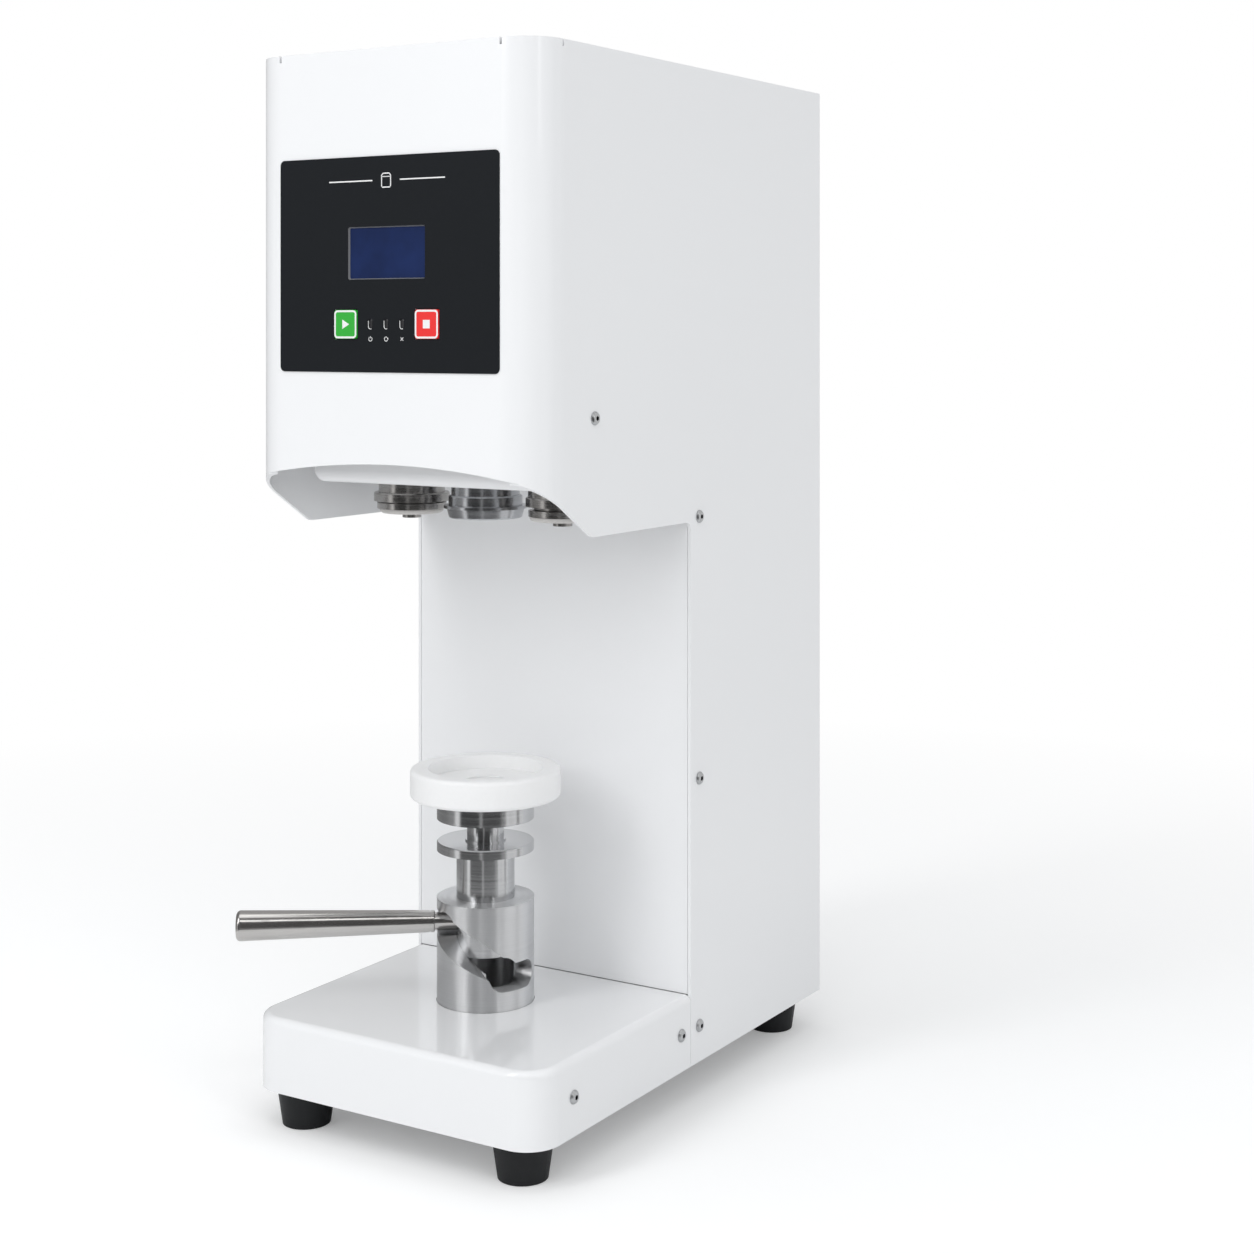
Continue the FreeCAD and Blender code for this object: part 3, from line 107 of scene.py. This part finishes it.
def tint(tree, value, low, high):
    """Mixes two colours by a value from 0 to 1."""
    mix = add(tree, "ShaderNodeMix", p_data_type="RGBA")
    tree.links.new(value, mix.inputs["Factor"])
    mix.inputs[6].default_value = (*low, 1)
    mix.inputs[7].default_value = (*high, 1)
    return mix.outputs[2]


def vector_math(tree, operation, first, second=None):
    node = add(tree, "ShaderNodeVectorMath", p_operation=operation, i0=first)
    if second is not None:
        node.inputs[1].default_value = second
    return node.outputs["Value" if operation == "LENGTH" else "Vector"]


def bump(tree, shader, height, strength, distance):
    made = add(tree, "ShaderNodeBump", Height=height, Strength=strength, Distance=distance)
    tree.links.new(made.outputs["Normal"], shader.inputs["Normal"])


def shaded(color, share):
    return tuple(c * share for c in color)


def paint(name, color, coat):
    """Glossy powder coat: faint orange peel and a very slow drift of tone."""
    made, tree, shader = new_material(name, color, 0.3, Coat_Weight=coat, Coat_Roughness=0.07)
    at = place(tree)
    drift = spread(tree, noise(tree, at, 3.0, 1.0), 0.0, 1.0)
    tree.links.new(tint(tree, drift, color, shaded(color, 0.985)), shader.inputs["Base Color"])
    tree.links.new(spread(tree, noise(tree, at, 900.0, 1.0), 0.28, 0.33), shader.inputs["Roughness"])
    bump(tree, shader, noise(tree, at, 520.0, 2.0), 0.05, 0.0003)
    return made


def turned_steel(name, color, roughness, axis, dark=0.88, streak=0.65):
    """Steel turned on a lathe: rings about the upright line through axis; streak draws glints upright."""
    made, tree, shader = new_material(name, color, roughness, 1.0, Anisotropic=streak,
                                      Anisotropic_Rotation=0.25)
    off = vector_math(tree, "SUBTRACT", place(tree), (axis[0], axis[1], 0.0))
    parts = add(tree, "ShaderNodeSeparateXYZ", Vector=off)
    flat = add(tree, "ShaderNodeCombineXYZ", X=parts.outputs["X"], Y=parts.outputs["Y"]).outputs[0]
    radius = vector_math(tree, "LENGTH", flat)
    rings = add(tree, "ShaderNodeCombineXYZ", X=radius, Z=parts.outputs["Z"]).outputs[0]
    tool = noise(tree, rings, 5200.0)
    bands = noise(tree, rings, 700.0, 1.0)
    tree.links.new(spread(tree, bands, roughness * 0.85, roughness * 1.25), shader.inputs["Roughness"])
    tree.links.new(tint(tree, spread(tree, tool, 0.0, 1.0), color, shaded(color, dark)),
                   shader.inputs["Base Color"])
    tangent = add(tree, "ShaderNodeTangent", p_direction_type="RADIAL", p_axis="Z")
    tree.links.new(tangent.outputs[0], shader.inputs["Tangent"])
    bump(tree, shader, tool, 0.1, 0.00005)
    return made


def brushed_steel(name, color, roughness, heading=0.0, stretch=(3.0, 90.0, 90.0), rust=0.84):
    """Steel brushed along a level heading; stretch is along, across and up, rust the darkest share."""
    made, tree, shader = new_material(name, color, roughness, 1.0, Anisotropic=0.3)
    along = add(tree, "ShaderNodeVectorRotate", p_rotation_type="Z_AXIS", Vector=place(tree),
                Angle=-heading).outputs[0]
    grain = noise(tree, vector_math(tree, "MULTIPLY", along, stretch), 22.0, 3.0)
    tree.links.new(tint(tree, spread(tree, grain, 0.0, 1.0), color, shaded(color, rust)),
                   shader.inputs["Base Color"])
    tree.links.new(spread(tree, grain, roughness * 0.85, roughness * 1.2), shader.inputs["Roughness"])
    bump(tree, shader, grain, 0.1, 0.00008)
    return made


def moulded(name, color, roughness, grain=900.0, depth=0.06, dark=0.85, **sockets):
    """Moulded plastic, rubber, glass or print with a fine texture."""
    made, tree, shader = new_material(name, color, roughness, **sockets)
    at = place(tree)
    fine = noise(tree, at, grain, 3.0)
    tree.links.new(tint(tree, spread(tree, fine, 0.0, 1.0), color, shaded(color, dark)),
                   shader.inputs["Base Color"])
    tree.links.new(spread(tree, noise(tree, at, grain / 6), roughness * 0.94, roughness * 1.08),
                   shader.inputs["Roughness"])
    bump(tree, shader, fine, depth, 0.0002)
    return made


WHITE = (0.9, 0.905, 0.915)
STEEL = (0.63, 0.635, 0.645)
WARM_STEEL = (0.5, 0.485, 0.47)

looks = {
    "paint": paint("white_powder_coat", WHITE, 0.4),
    "gloss": paint("white_gloss_coat", WHITE, 1.0),
    "zinc": brushed_steel("zinc_plate", (0.6, 0.61, 0.62), 0.34, 0.0, (40.0, 40.0, 3.0)),
    "turned": turned_steel("turned_steel_lift", STEEL, 0.17, (0.0, CAN_Y)),
    "sleeve": turned_steel("turned_steel_sleeve", (0.76, 0.765, 0.775), 0.36, (0.0, CAN_Y), 0.94, 0.95),
    "handle": brushed_steel("brushed_lever", (0.62, 0.605, 0.59), 0.2, LEVER_HEADING, rust=0.93),
    "roller_left": turned_steel("turned_steel_left", WARM_STEEL, 0.24, (-ROLLER_X, CAN_Y), 0.8),
    "roller_right": turned_steel("turned_steel_right", WARM_STEEL, 0.24, (ROLLER_X, CAN_Y), 0.8),
    "chuck": turned_steel("turned_steel_chuck", (0.55, 0.56, 0.58), 0.22, (0.0, CAN_Y), 0.84),
    "cap": moulded("pale_cap", (0.62, 0.6, 0.58), 0.4, 1500.0, 0.04, 0.92),
    "nylon": moulded("white_nylon", (0.9, 0.9, 0.9), 0.45, 500.0, 0.02, 0.985, Subsurface_Weight=0.5,
                     Subsurface_Radius=(1.0, 1.0, 1.0), Subsurface_Scale=0.006),
    "rubber": moulded("black_rubber", (0.0115, 0.0125, 0.014), 0.5, 1400.0, 0.15,
                      Specular_IOR_Level=0.3),
    "film": moulded("panel_film", (0.0125, 0.0145, 0.0175), 0.5, 2400.0, 0.06, 0.9,
                    Specular_IOR_Level=0.12),
    "lcd": moulded("display_glass", (0.0095, 0.024, 0.1), 0.3, 60.0, 0.0, 0.7, Specular_IOR_Level=0.15),
    "green": moulded("green_key", (0.024, 0.44, 0.035), 0.36, 1800.0, 0.03, 0.94),
    "red": moulded("red_key", (0.88, 0.022, 0.022), 0.36, 1800.0, 0.03, 0.94),
    # White ink for the printed marks; the same look also paints the highlights at the lamp openings.
    "print": moulded("white_print_and_painted_highlight", (0.88, 0.88, 0.88), 0.45, 1800.0, 0.02, 0.97),
    "rim": moulded("window_rim", (0.2, 0.205, 0.215), 0.3, 1500.0, 0.03, 0.9),
    "lamp": moulded("lamp_lens", (0.012, 0.013, 0.015), 0.12, 400.0, 0.0, 0.9),
    "socket": moulded("dark_socket", (0.012, 0.012, 0.013), 0.5, 900.0, 0.1),
    "board": moulded("circuit_board", (0.01, 0.12, 0.05), 0.4, 300.0, 0.1),
    "black": moulded("black_plastic", (0.014, 0.014, 0.016), 0.42, 1200.0, 0.12, Specular_IOR_Level=0.35),
    "motor": moulded("motor_paint", (0.09, 0.1, 0.11), 0.4, 700.0, 0.1),
    "aluminium": brushed_steel("cast_aluminium", (0.72, 0.73, 0.74), 0.42, 0.0, (20.0, 20.0, 20.0)),
    "belt": moulded("belt_rubber", (0.02, 0.02, 0.02), 0.6, 1500.0, 0.15),
}

BY_SLOT = {
    "white_paint": "paint", "zinc_steel": "zinc", "polished_steel": "turned", "brushed_steel": "handle",
    "nylon": "nylon", "rubber": "rubber", "panel_film": "film", "display_glass": "lcd",
    "green_key": "green", "red_key": "red", "lamp": "lamp", "board": "board",
    "black_plastic": "black", "motor_paint": "motor", "aluminium": "aluminium", "belt_rubber": "belt",
}
by_node = {row["node"]: BY_SLOT[row["material_slot"]] for row in frame["record"]["subparts"]}
by_node.update({
    "first_roller": "roller_left", "roller_pin_left": "roller_left", "cam_follower_left": "roller_left",
    "second_roller": "roller_right", "roller_pin_right": "roller_right",
    "cam_follower_right": "roller_right", "seaming_chuck": "chuck", "roller_cap_left": "cap",
    "roller_cap_right": "cap", "lift_sleeve": "sleeve", "base_cover": "gloss", "tray_screw": "nylon",
})
for name, thing in nodes.items():
    thing.data.materials.clear()
    thing.data.materials.append(looks[by_node[name]])


# ---------------------------------------------------------------- mesh helpers

SHARP_ANGLE = math.radians(32)


def finish_mesh(name, bm, look, body, replaces=()):
    """Smooth shading with sharp edges kept, one look, and a body to ride on."""
    bmesh.ops.remove_doubles(bm, verts=bm.verts, dist=1e-7)
    bmesh.ops.recalc_face_normals(bm, faces=bm.faces)
    for face in bm.faces:
        face.smooth = True
    for edge in bm.edges:
        if len(edge.link_faces) == 2 and edge.calc_face_angle(0) > SHARP_ANGLE:
            edge.smooth = False
    mesh = bpy.data.meshes.new(name)
    bm.to_mesh(mesh)
    bm.free()
    thing = bpy.data.objects.new(name, mesh)
    for each in (look if isinstance(look, tuple) else (look,)):
        mesh.materials.append(looks[each])
    bpy.context.scene.collection.objects.link(thing)
    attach(thing, body)
    if replaces:
        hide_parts(*replaces)
    return thing


def rounded(corners, steps=5):
    """A line of (u, v, radius) corners with each corner rounded by an arc of its radius."""
    line = []
    for i, (u, v, radius) in enumerate(corners):
        at = Vector((u, v))
        if radius <= 0 or i == 0 or i == len(corners) - 1:
            line.append(at)
            continue
        before = (Vector(corners[i - 1][:2]) - at).normalized()
        after = (Vector(corners[i + 1][:2]) - at).normalized()
        half = before.angle(after) / 2
        start = at + before * (radius / math.tan(half))
        middle = at + (before + after).normalized() * (radius / math.sin(half))
        first = start - middle
        sweep = math.pi - 2 * half
        sign = 1 if before.cross(after) < 0 else -1
        for k in range(steps + 1):
            angle = sign * sweep * k / steps
            turned = Vector((first.x * math.cos(angle) - first.y * math.sin(angle),
                             first.x * math.sin(angle) + first.y * math.cos(angle)))
            line.append(middle + turned)
    return line


def lathe(bm, profile, segments, move, index=0):
    """Turns a line of (radius, height) in mm about Z and lays it by the matrix move."""
    loops = []
    for radius, height in profile:
        if not callable(radius) and radius < 1e-6:
            loops.append([bm.verts.new(move @ Vector((0, 0, height * MM)))])
            continue
        loop = []
        for k in range(segments):
            angle = 2 * math.pi * k / segments
            reach = radius(angle) if callable(radius) else radius
            loop.append(bm.verts.new(move @ Vector((reach * MM * math.cos(angle),
                                                    reach * MM * math.sin(angle), height * MM))))
        loops.append(loop)
    for first, second in zip(loops, loops[1:]):
        for k in range(segments):
            following = (k + 1) % segments
            corners = [first[k % len(first)], first[following % len(first)],
                       second[following % len(second)], second[k % len(second)]]
            unique = list(dict.fromkeys(corners))
            if len(unique) > 2:
                face = bm.faces.new(unique)
                face.material_index = index


def islands(name):
    """Boxes of the separate solids of a CAD node, as (lowest, highest) corners."""
    mesh = nodes[name].data
    keys = {}
    for vertex in mesh.vertices:
        keys.setdefault(tuple(round(c, 6) for c in vertex.co), []).append(vertex.index)
    root = {}

    def find(i):
        while root[i] != i:
            root[i] = root[root[i]]
            i = root[i]
        return i

    for group in keys.values():
        for i in group:
            root[i] = group[0]
    for face in mesh.polygons:
        first = find(face.vertices[0])
        for i in face.vertices[1:]:
            root[find(i)] = first
    found = {}
    for vertex in mesh.vertices:
        found.setdefault(find(vertex.index), []).append(vertex.co)
    boxes = []
    for points in found.values():
        low = Vector([min(p[k] for p in points) for k in range(3)])
        high = Vector([max(p[k] for p in points) for k in range(3)])
        boxes.append((low, high))
    return sorted(boxes, key=lambda b: tuple(b[0]))


# ---------------------------------------------------------------- screws

SCREW_HEAD = 3.8
SCREW_TALL = 2.0
HEX_FLAT = 1.25
SOCKET_RIM = 1.72
SCREW_SIDES = 48


def hexagon(angle):
    return HEX_FLAT / math.cos((angle + math.pi / 6) % (math.pi / 3) - math.pi / 6)


def button_head(bm, move):
    """Domed screw head with a hexagon socket, its base at the origin of move."""
    dome = rounded([(SCREW_HEAD, 0, 0), (SCREW_HEAD, 0.55, 0.3), (3.0, 1.55, 1.2),
                    (2.1, SCREW_TALL, 0.2), (SOCKET_RIM, SCREW_TALL, 0)])
    lathe(bm, [(p.x, p.y) for p in dome], SCREW_SIDES, move)
    lathe(bm, [(SOCKET_RIM, SCREW_TALL), (hexagon, SCREW_TALL - 0.1)], SCREW_SIDES, move)
    lathe(bm, [(hexagon, SCREW_TALL - 0.1), (hexagon, 0.6), (0, 0.35)], SCREW_SIDES, move, 1)


def screw_heads():
    side = bmesh.new()
    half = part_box("housing_shell")[1].x
    for low, high in islands("side_screws"):
        sign = 1 if high.x > 0 else -1
        centre = (low + high) / 2
        out = Vector((sign, 0, 0)).to_track_quat("Z", "Y").to_matrix().to_4x4()
        button_head(side, Matrix.Translation((half * sign, centre.y, centre.z)) @ out)
    finish_mesh("side_screw_heads", side, ("zinc", "socket"), "housing", ("side_screws",))
    back = bmesh.new()
    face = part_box("housing_shell")[1].y
    for low, high in islands("rear_screws"):
        centre = (low + high) / 2
        out = Vector((0, 1, 0)).to_track_quat("Z", "Y").to_matrix().to_4x4()
        button_head(back, Matrix.Translation((centre.x, face, centre.z)) @ out)
    finish_mesh("rear_screw_heads", back, ("zinc", "socket"), "housing", ("rear_screws",))


# ---------------------------------------------------------------- control panel

SLOT_WIDTH = 3.4
LENS_HALF = 1.68
LENS_ROUND = 1.66
PLAY = 0.02
INK_THICK = 0.04
LIFT_OFF = 0.001 * MM

def outline(half_x, half_z, radius, steps=6):
    """A rounded rectangle about the origin, counter-clockwise, in mm."""
    points = []
    for cx, cz, start in ((1, 1, 0), (-1, 1, 90), (-1, -1, 180), (1, -1, 270)):
        for k in range(steps + 1):
            angle = math.radians(start + 90 * k / steps)
            points.append(((half_x - radius) * cx + radius * math.cos(angle),
                           (half_z - radius) * cz + radius * math.sin(angle)))
    return points


def stack(bm, layers, centre, index=0, close=(False, True)):
    """Joins outlines one behind another: each layer is (points in mm, depth in metres along Y)."""
    rows = [[bm.verts.new((centre[0] + x * MM, y, centre[1] + z * MM)) for x, z in points]
            for points, y in layers]
    for first, second in zip(rows, rows[1:]):
        for k in range(len(first)):
            j = (k + 1) % len(first)
            bm.faces.new([first[k], first[j], second[j], second[k]]).material_index = index
    if close[0]:
        bm.faces.new(rows[0]).material_index = index
    if close[1]:
        bm.faces.new(rows[-1]).material_index = index


def stroke(bm, points, width, y, centre, closed=False, thick=INK_THICK):
    """A line of even width along points in mm, on the plane at y: printed marks, and also the painted
    highlights at the lamp openings.
    """
    count = len(points)
    left, right = [], []
    for i, point in enumerate(points):
        at = Vector(point)
        before = Vector(points[i - 1]) if i > 0 or closed else None
        after = Vector(points[(i + 1) % count]) if i < count - 1 or closed else None
        ways = [w for w in ((at - before).normalized() if before is not None else None,
                            (after - at).normalized() if after is not None else None) if w is not None]
        way = (ways[0] + ways[-1]).normalized()
        normal = Vector((-way.y, way.x))
        reach = width / 2 / max(0.5, normal.dot(Vector((-ways[0].y, ways[0].x))))
        left.append(at + normal * reach)
        right.append(at - normal * reach)
    for depth in (0, thick * MM):
        rows = [[bm.verts.new((centre[0] + p.x * MM, y + depth, centre[1] + p.y * MM)) for p in side]
                for side in (left, right)]
        spans = count if closed else count - 1
        for i in range(spans):
            j = (i + 1) % count
            bm.faces.new([rows[0][i], rows[0][j], rows[1][j], rows[1][i]])
        if depth == 0:
            front_rows = rows
    for side in (0, 1):
        for i in range(spans):
            j = (i + 1) % count
            bm.faces.new([front_rows[side][i], front_rows[side][j], rows[side][j], rows[side][i]])
    if not closed:
        for i in (0, count - 1):
            bm.faces.new([front_rows[0][i], front_rows[1][i], rows[1][i], rows[0][i]])


def patch(bm, points, y, centre, thick=INK_THICK):
    """A printed filled shape."""
    stack(bm, [(points, y), (points, y + thick * MM)], centre, 0, (True, True))


def arc(radius, start, end, steps=20, centre=(0, 0)):
    return [(centre[0] + radius * math.cos(math.radians(start + (end - start) * k / steps)),
             centre[1] + radius * math.sin(math.radians(start + (end - start) * k / steps)))
            for k in range(steps + 1)]


def key_cap(node, body, look, symbol):
    """Square key with a printed white border and a plain symbol."""
    low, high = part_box(node)
    centre = ((low.x + high.x) / 2, (low.z + high.z) / 2)
    half = (high.x - low.x) / 2 / MM
    face = low.y
    ledge = 0.12 * MM
    cap = bmesh.new()
    stack(cap, [(outline(half, half, 1.8), high.y), (outline(half, half, 1.8), face + 0.5 * MM),
                (outline(half - 0.12, half - 0.12, 1.7), face + 0.22 * MM),
                (outline(half - 0.35, half - 0.35, 1.6), face + ledge),
                (outline(half - 1.5, half - 1.5, 1.2), face + ledge)], centre, 0, (True, True))
    finish_mesh(node + "_cap", cap, look, body, (node,))
    mark = bmesh.new()
    edge = half - 0.75
    border = outline(edge, edge, 1.7)
    stroke(mark, border, 1.05, face + ledge - 0.06 * MM, centre, True, 0.05)
    for shape in symbol:
        patch(mark, shape, face + ledge - 0.06 * MM, centre, 0.05)
    finish_mesh(node + "_marks", mark, "print", body)


def panel_details():
    low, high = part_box("control_panel")
    face = low.y
    window_low, window_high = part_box("display_window")
    window = ((window_low.x + window_high.x) / 2, (window_low.z + window_high.z) / 2)
    half_x = (window_high.x - window_low.x) / 2 / MM
    half_z = (window_high.z - window_low.z) / 2 / MM
    rim = bmesh.new()
    depth = window_low.y
    stack(rim, [(outline(half_x - PLAY, half_z - PLAY, 1.0), face + 0.02 * MM),
                (outline(half_x - 0.55, half_z - 0.55, 0.8), depth - 0.01 * MM),
                (outline(half_x - PLAY, half_z - PLAY, 1.0), depth - 0.01 * MM)], window, 0,
          (False, False))
    rows = outline(half_x - PLAY, half_z - PLAY, 1.0)
    stack(rim, [(rows, depth - 0.01 * MM), (rows, face + 0.02 * MM)], window, 0, (False, False))
    finish_mesh("window_rim", rim, "rim", "housing")

    lens_low, lens_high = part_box("led_lenses")
    row = (lens_low.z + lens_high.z) / 2
    tall = (lens_high.z - lens_low.z) / 2 / MM
    pitch = (lens_high.x - lens_low.x - SLOT_WIDTH * MM) / 2
    lenses = bmesh.new()
    lamp_highlight_strips = bmesh.new()
    for step in (-1, 0, 1):
        centre = (pitch * step, row)
        whole = outline(LENS_HALF, tall - PLAY, LENS_ROUND)
        layers = [(whole, lens_high.y), (whole, face + 0.45 * MM)]
        for k in range(1, 5):
            shrink = 1.1 * (1 - math.cos(math.radians(k * 18)))
            rise = 0.3 * math.sin(math.radians(k * 22.5))
            layers.append((outline(LENS_HALF - shrink, tall - PLAY - shrink, LENS_ROUND - shrink),
                           face + (0.45 - rise) * MM))
        stack(lenses, layers, centre, 0, (True, True))
        # Painted highlight: a white strip down the left side and round the bottom of each lamp opening
        # stands in for its lit edge.
        highlight_hook = [(-1.42, tall - 1.0), (-1.42, -tall + 1.7)]
        highlight_hook += arc(1.42, 180, 300, 10, (0, -tall + 1.7))
        stroke(lamp_highlight_strips, highlight_hook, 0.34, face - LIFT_OFF, centre, False, 0.03)
    finish_mesh("lamp_domes", lenses, "lamp", "housing", ("led_lenses",))
    # The painted highlight strips at the lamp openings.
    finish_mesh("lamp_painted_highlights", lamp_highlight_strips, "print", "housing")

    marks = bmesh.new()
    ink = face - LIFT_OFF
    below = row - 8.1 * MM
    power = (-pitch, below)
    stroke(marks, arc(1.15, 125, 415, 18), 0.34, ink, power)
    stroke(marks, [(0, 0.3), (0, 1.5)], 0.34, ink, power)
    run = (0, below)
    stroke(marks, arc(1.15, 40, 330, 18), 0.34, ink, run)
    patch(marks, [(0.55, -0.15), (1.75, -0.15), (1.15, 0.75)], ink, run)
    halt = (pitch, below)
    stroke(marks, [(-0.9, -0.9), (0.9, 0.9)], 0.36, ink, halt)
    stroke(marks, [(-0.9, 0.9), (-0.22, 0.22)], 0.36, ink, halt)
    stroke(marks, [(0.22, -0.22), (0.9, -0.9)], 0.36, ink, halt)

    title = (0.0, high.z - 13.4 * MM)
    for sign in (-1, 1):
        stroke(marks, [(sign * 9.5, 0), (sign * 40, 0)], 0.7, ink, title)
        stroke(marks, [(sign * 3.1, -3.6), (sign * 3.1, 2.6), (sign * 2.2, 3.7)], 0.62, ink, title)
    stroke(marks, [(-2.2, 3.7), (2.2, 3.7)], 0.62, ink, title)
    stroke(marks, [(-2.8, -3.9), (2.8, -3.9)], 0.62, ink, title)
    stroke(marks, [(-3.1, 1.9), (3.1, 1.9)], 0.4, ink, title)
    finish_mesh("panel_marks", marks, "print", "housing")


# ---------------------------------------------------------------- floor, light, camera

DARK_STUDIO = [(0.0, 0.75), (0.045, 0.9), (0.06, 0.16), (0.08, 0.85), (0.205, 0.8), (0.215, 0.1),
               (0.225, 0.6), (0.34, 0.5), (0.44, 0.25), (0.56, 0.22), (0.64, 0.35), (0.655, 0.95),
               (0.675, 0.95), (0.69, 0.06), (0.80, 0.05), (0.815, 0.5), (0.825, 0.07), (0.93, 0.06),
               (0.945, 0.3), (0.96, 0.25), (0.975, 0.9), (1.0, 0.75)]


def heading_shade(tree, way):
    """Brightness of the studio by heading, for reflections only."""
    parts = add(tree, "ShaderNodeSeparateXYZ", Vector=way)
    angle = add(tree, "ShaderNodeMath", p_operation="ARCTAN2", i0=parts.outputs["Y"],
                i1=parts.outputs["X"]).outputs[0]
    full = add(tree, "ShaderNodeMath", p_operation="DIVIDE", i0=angle, i1=2 * math.pi).outputs[0]
    share = add(tree, "ShaderNodeMath", p_operation="FRACT", i0=full).outputs[0]
    ramp = add(tree, "ShaderNodeValToRGB", Fac=share)
    bar = ramp.color_ramp
    while len(bar.elements) < len(DARK_STUDIO):
        bar.elements.new(0.5)
    for element, (at, shade) in zip(bar.elements, DARK_STUDIO):
        element.position = at
        element.color = (shade, shade, shade, 1)
    return ramp.outputs["Color"]


def larger(tree, first, second):
    return add(tree, "ShaderNodeMath", p_operation="MAXIMUM", i0=first, i1=second).outputs[0]


def make_world():
    """White where the camera looks; brighter from the front for light; the studio for reflections."""
    world = bpy.data.worlds.new("studio")
    bpy.context.scene.world = world
    world.use_nodes = True
    tree = world.node_tree
    tree.nodes.clear()
    path = add(tree, "ShaderNodeLightPath").outputs
    way = add(tree, "ShaderNodeTexCoord").outputs["Generated"]
    glossy = add(tree, "ShaderNodeBackground", Color=heading_shade(tree, way), Strength=1.0)
    toward = add(tree, "ShaderNodeVectorMath", p_operation="DOT_PRODUCT", i0=way,
                 i1=(0.35, -0.9, 0.25)).outputs["Value"]
    fill = add(tree, "ShaderNodeMapRange", Value=toward, i1=-1.0, i2=1.0, i3=0.46, i4=0.88).outputs[0]
    plain = add(tree, "ShaderNodeBackground", Color=(0.97, 0.985, 1.0, 1), Strength=fill)
    white = add(tree, "ShaderNodeBackground", Color=(1, 1, 1, 1), Strength=1.0)
    first = add(tree, "ShaderNodeMixShader", Fac=path["Is Glossy Ray"], i1=plain.outputs[0],
                i2=glossy.outputs[0])
    clear = larger(tree, path["Is Camera Ray"], path["Is Transmission Ray"])
    last = add(tree, "ShaderNodeMixShader", Fac=clear, i1=first.outputs[0], i2=white.outputs[0])
    add(tree, "ShaderNodeOutputWorld", Surface=last.outputs[0])


def make_floor():
    """White sweep that keeps the shadow near the object; reflections of its far part are the studio's."""
    made = bpy.data.materials.new("floor")
    made.use_nodes = True
    tree = made.node_tree
    tree.nodes.clear()
    path = add(tree, "ShaderNodeLightPath").outputs
    at = add(tree, "ShaderNodeTexCoord").outputs["Object"]
    far = vector_math(tree, "LENGTH", at)
    fade = add(tree, "ShaderNodeMapRange", Value=far, i1=0.45, i2=1.2, i3=0.0, i4=1.0).outputs[0]
    clear = larger(tree, path["Is Camera Ray"], path["Is Transmission Ray"])
    seen = add(tree, "ShaderNodeMath", p_operation="MULTIPLY", i0=fade, i1=clear).outputs[0]
    lit = add(tree, "ShaderNodeBsdfDiffuse", Color=(0.86, 0.86, 0.86, 1))
    lift = add(tree, "ShaderNodeEmission", Color=(1, 1, 1, 1), Strength=0.2)
    none = add(tree, "ShaderNodeEmission", Color=(0, 0, 0, 1), Strength=0.0)
    extra = add(tree, "ShaderNodeMixShader", Fac=path["Is Camera Ray"], i1=none.outputs[0],
                i2=lift.outputs[0])
    near = add(tree, "ShaderNodeAddShader", i0=lit.outputs[0], i1=extra.outputs[0])
    white = add(tree, "ShaderNodeEmission", Color=(1, 1, 1, 1), Strength=1.0)
    shown = add(tree, "ShaderNodeMixShader", Fac=seen, i1=near.outputs[0], i2=white.outputs[0])
    mirrored = add(tree, "ShaderNodeEmission", Color=heading_shade(tree, at), Strength=1.0)
    far_off = add(tree, "ShaderNodeMapRange", Value=far, i1=0.42, i2=0.55, i3=0.0, i4=1.0).outputs[0]
    dim = add(tree, "ShaderNodeMath", p_operation="MULTIPLY", i0=far_off,
              i1=path["Is Glossy Ray"]).outputs[0]
    both = add(tree, "ShaderNodeMixShader", Fac=dim, i1=shown.outputs[0], i2=mirrored.outputs[0])
    add(tree, "ShaderNodeOutputMaterial", Surface=both.outputs[0])
    bm = bmesh.new()
    bmesh.ops.create_grid(bm, x_segments=1, y_segments=1, size=30)
    mesh = bpy.data.meshes.new("floor")
    bm.to_mesh(mesh)
    bm.free()
    floor = bpy.data.objects.new("floor", mesh)
    mesh.materials.append(made)
    bpy.context.scene.collection.objects.link(floor)
    floor.location.z = -0.0003


def lamp(name, heading, height, distance, size, radiance):
    """A soft box that looks at the object; radiance is how bright its face is."""
    angle = math.radians(heading)
    data = bpy.data.lights.new(name, "AREA")
    data.shape = "RECTANGLE"
    data.size, data.size_y = size
    data.energy = radiance * math.pi * size[0] * size[1]
    thing = bpy.data.objects.new(name, data)
    bpy.context.scene.collection.objects.link(thing)
    thing.location = (distance * math.cos(angle), CAN_Y + distance * math.sin(angle), height)
    aim = Vector((0, CAN_Y, 0.25)) - thing.location
    thing.rotation_euler = aim.to_track_quat("-Z", "Y").to_euler()


def make_camera():
    data = bpy.data.cameras.new("camera")
    camera = bpy.data.objects.new("camera", data)
    bpy.context.scene.collection.objects.link(camera)
    camera.location = CAMERA_AT
    camera.rotation_euler = (math.radians(90), 0, CAMERA_HEADING)
    data.sensor_width = 36.0
    data.lens = CAMERA_LENS
    data.shift_y = CAMERA_SHIFT
    data.clip_start, data.clip_end = 0.01, 200
    bpy.context.scene.camera = camera


screw_heads()
TRIANGLE = [(-2.1, -2.6), (2.7, 0.0), (-2.1, 2.6)]
SQUARE = [(-2.3, -2.3), (2.3, -2.3), (2.3, 2.3), (-2.3, 2.3)]
key_cap("start_button", "start_key", "green", [TRIANGLE])
key_cap("stop_button", "stop_key", "red", [SQUARE])
panel_details()

make_world()
make_floor()
lamp("left_box", 250, 1.5, 1.7, (0.5, 1.5), 4.2)
lamp("right_box", 338, 1.3, 1.9, (0.3, 1.3), 2.5)
lamp("top_box", 200, 2.4, 0.3, (1.2, 1.2), 1.2)
lamp("front_box", 306, 1.75, 1.35, (1.1, 0.3), 2.6)
make_camera()

bpy.context.scene.view_settings.view_transform = "Standard"
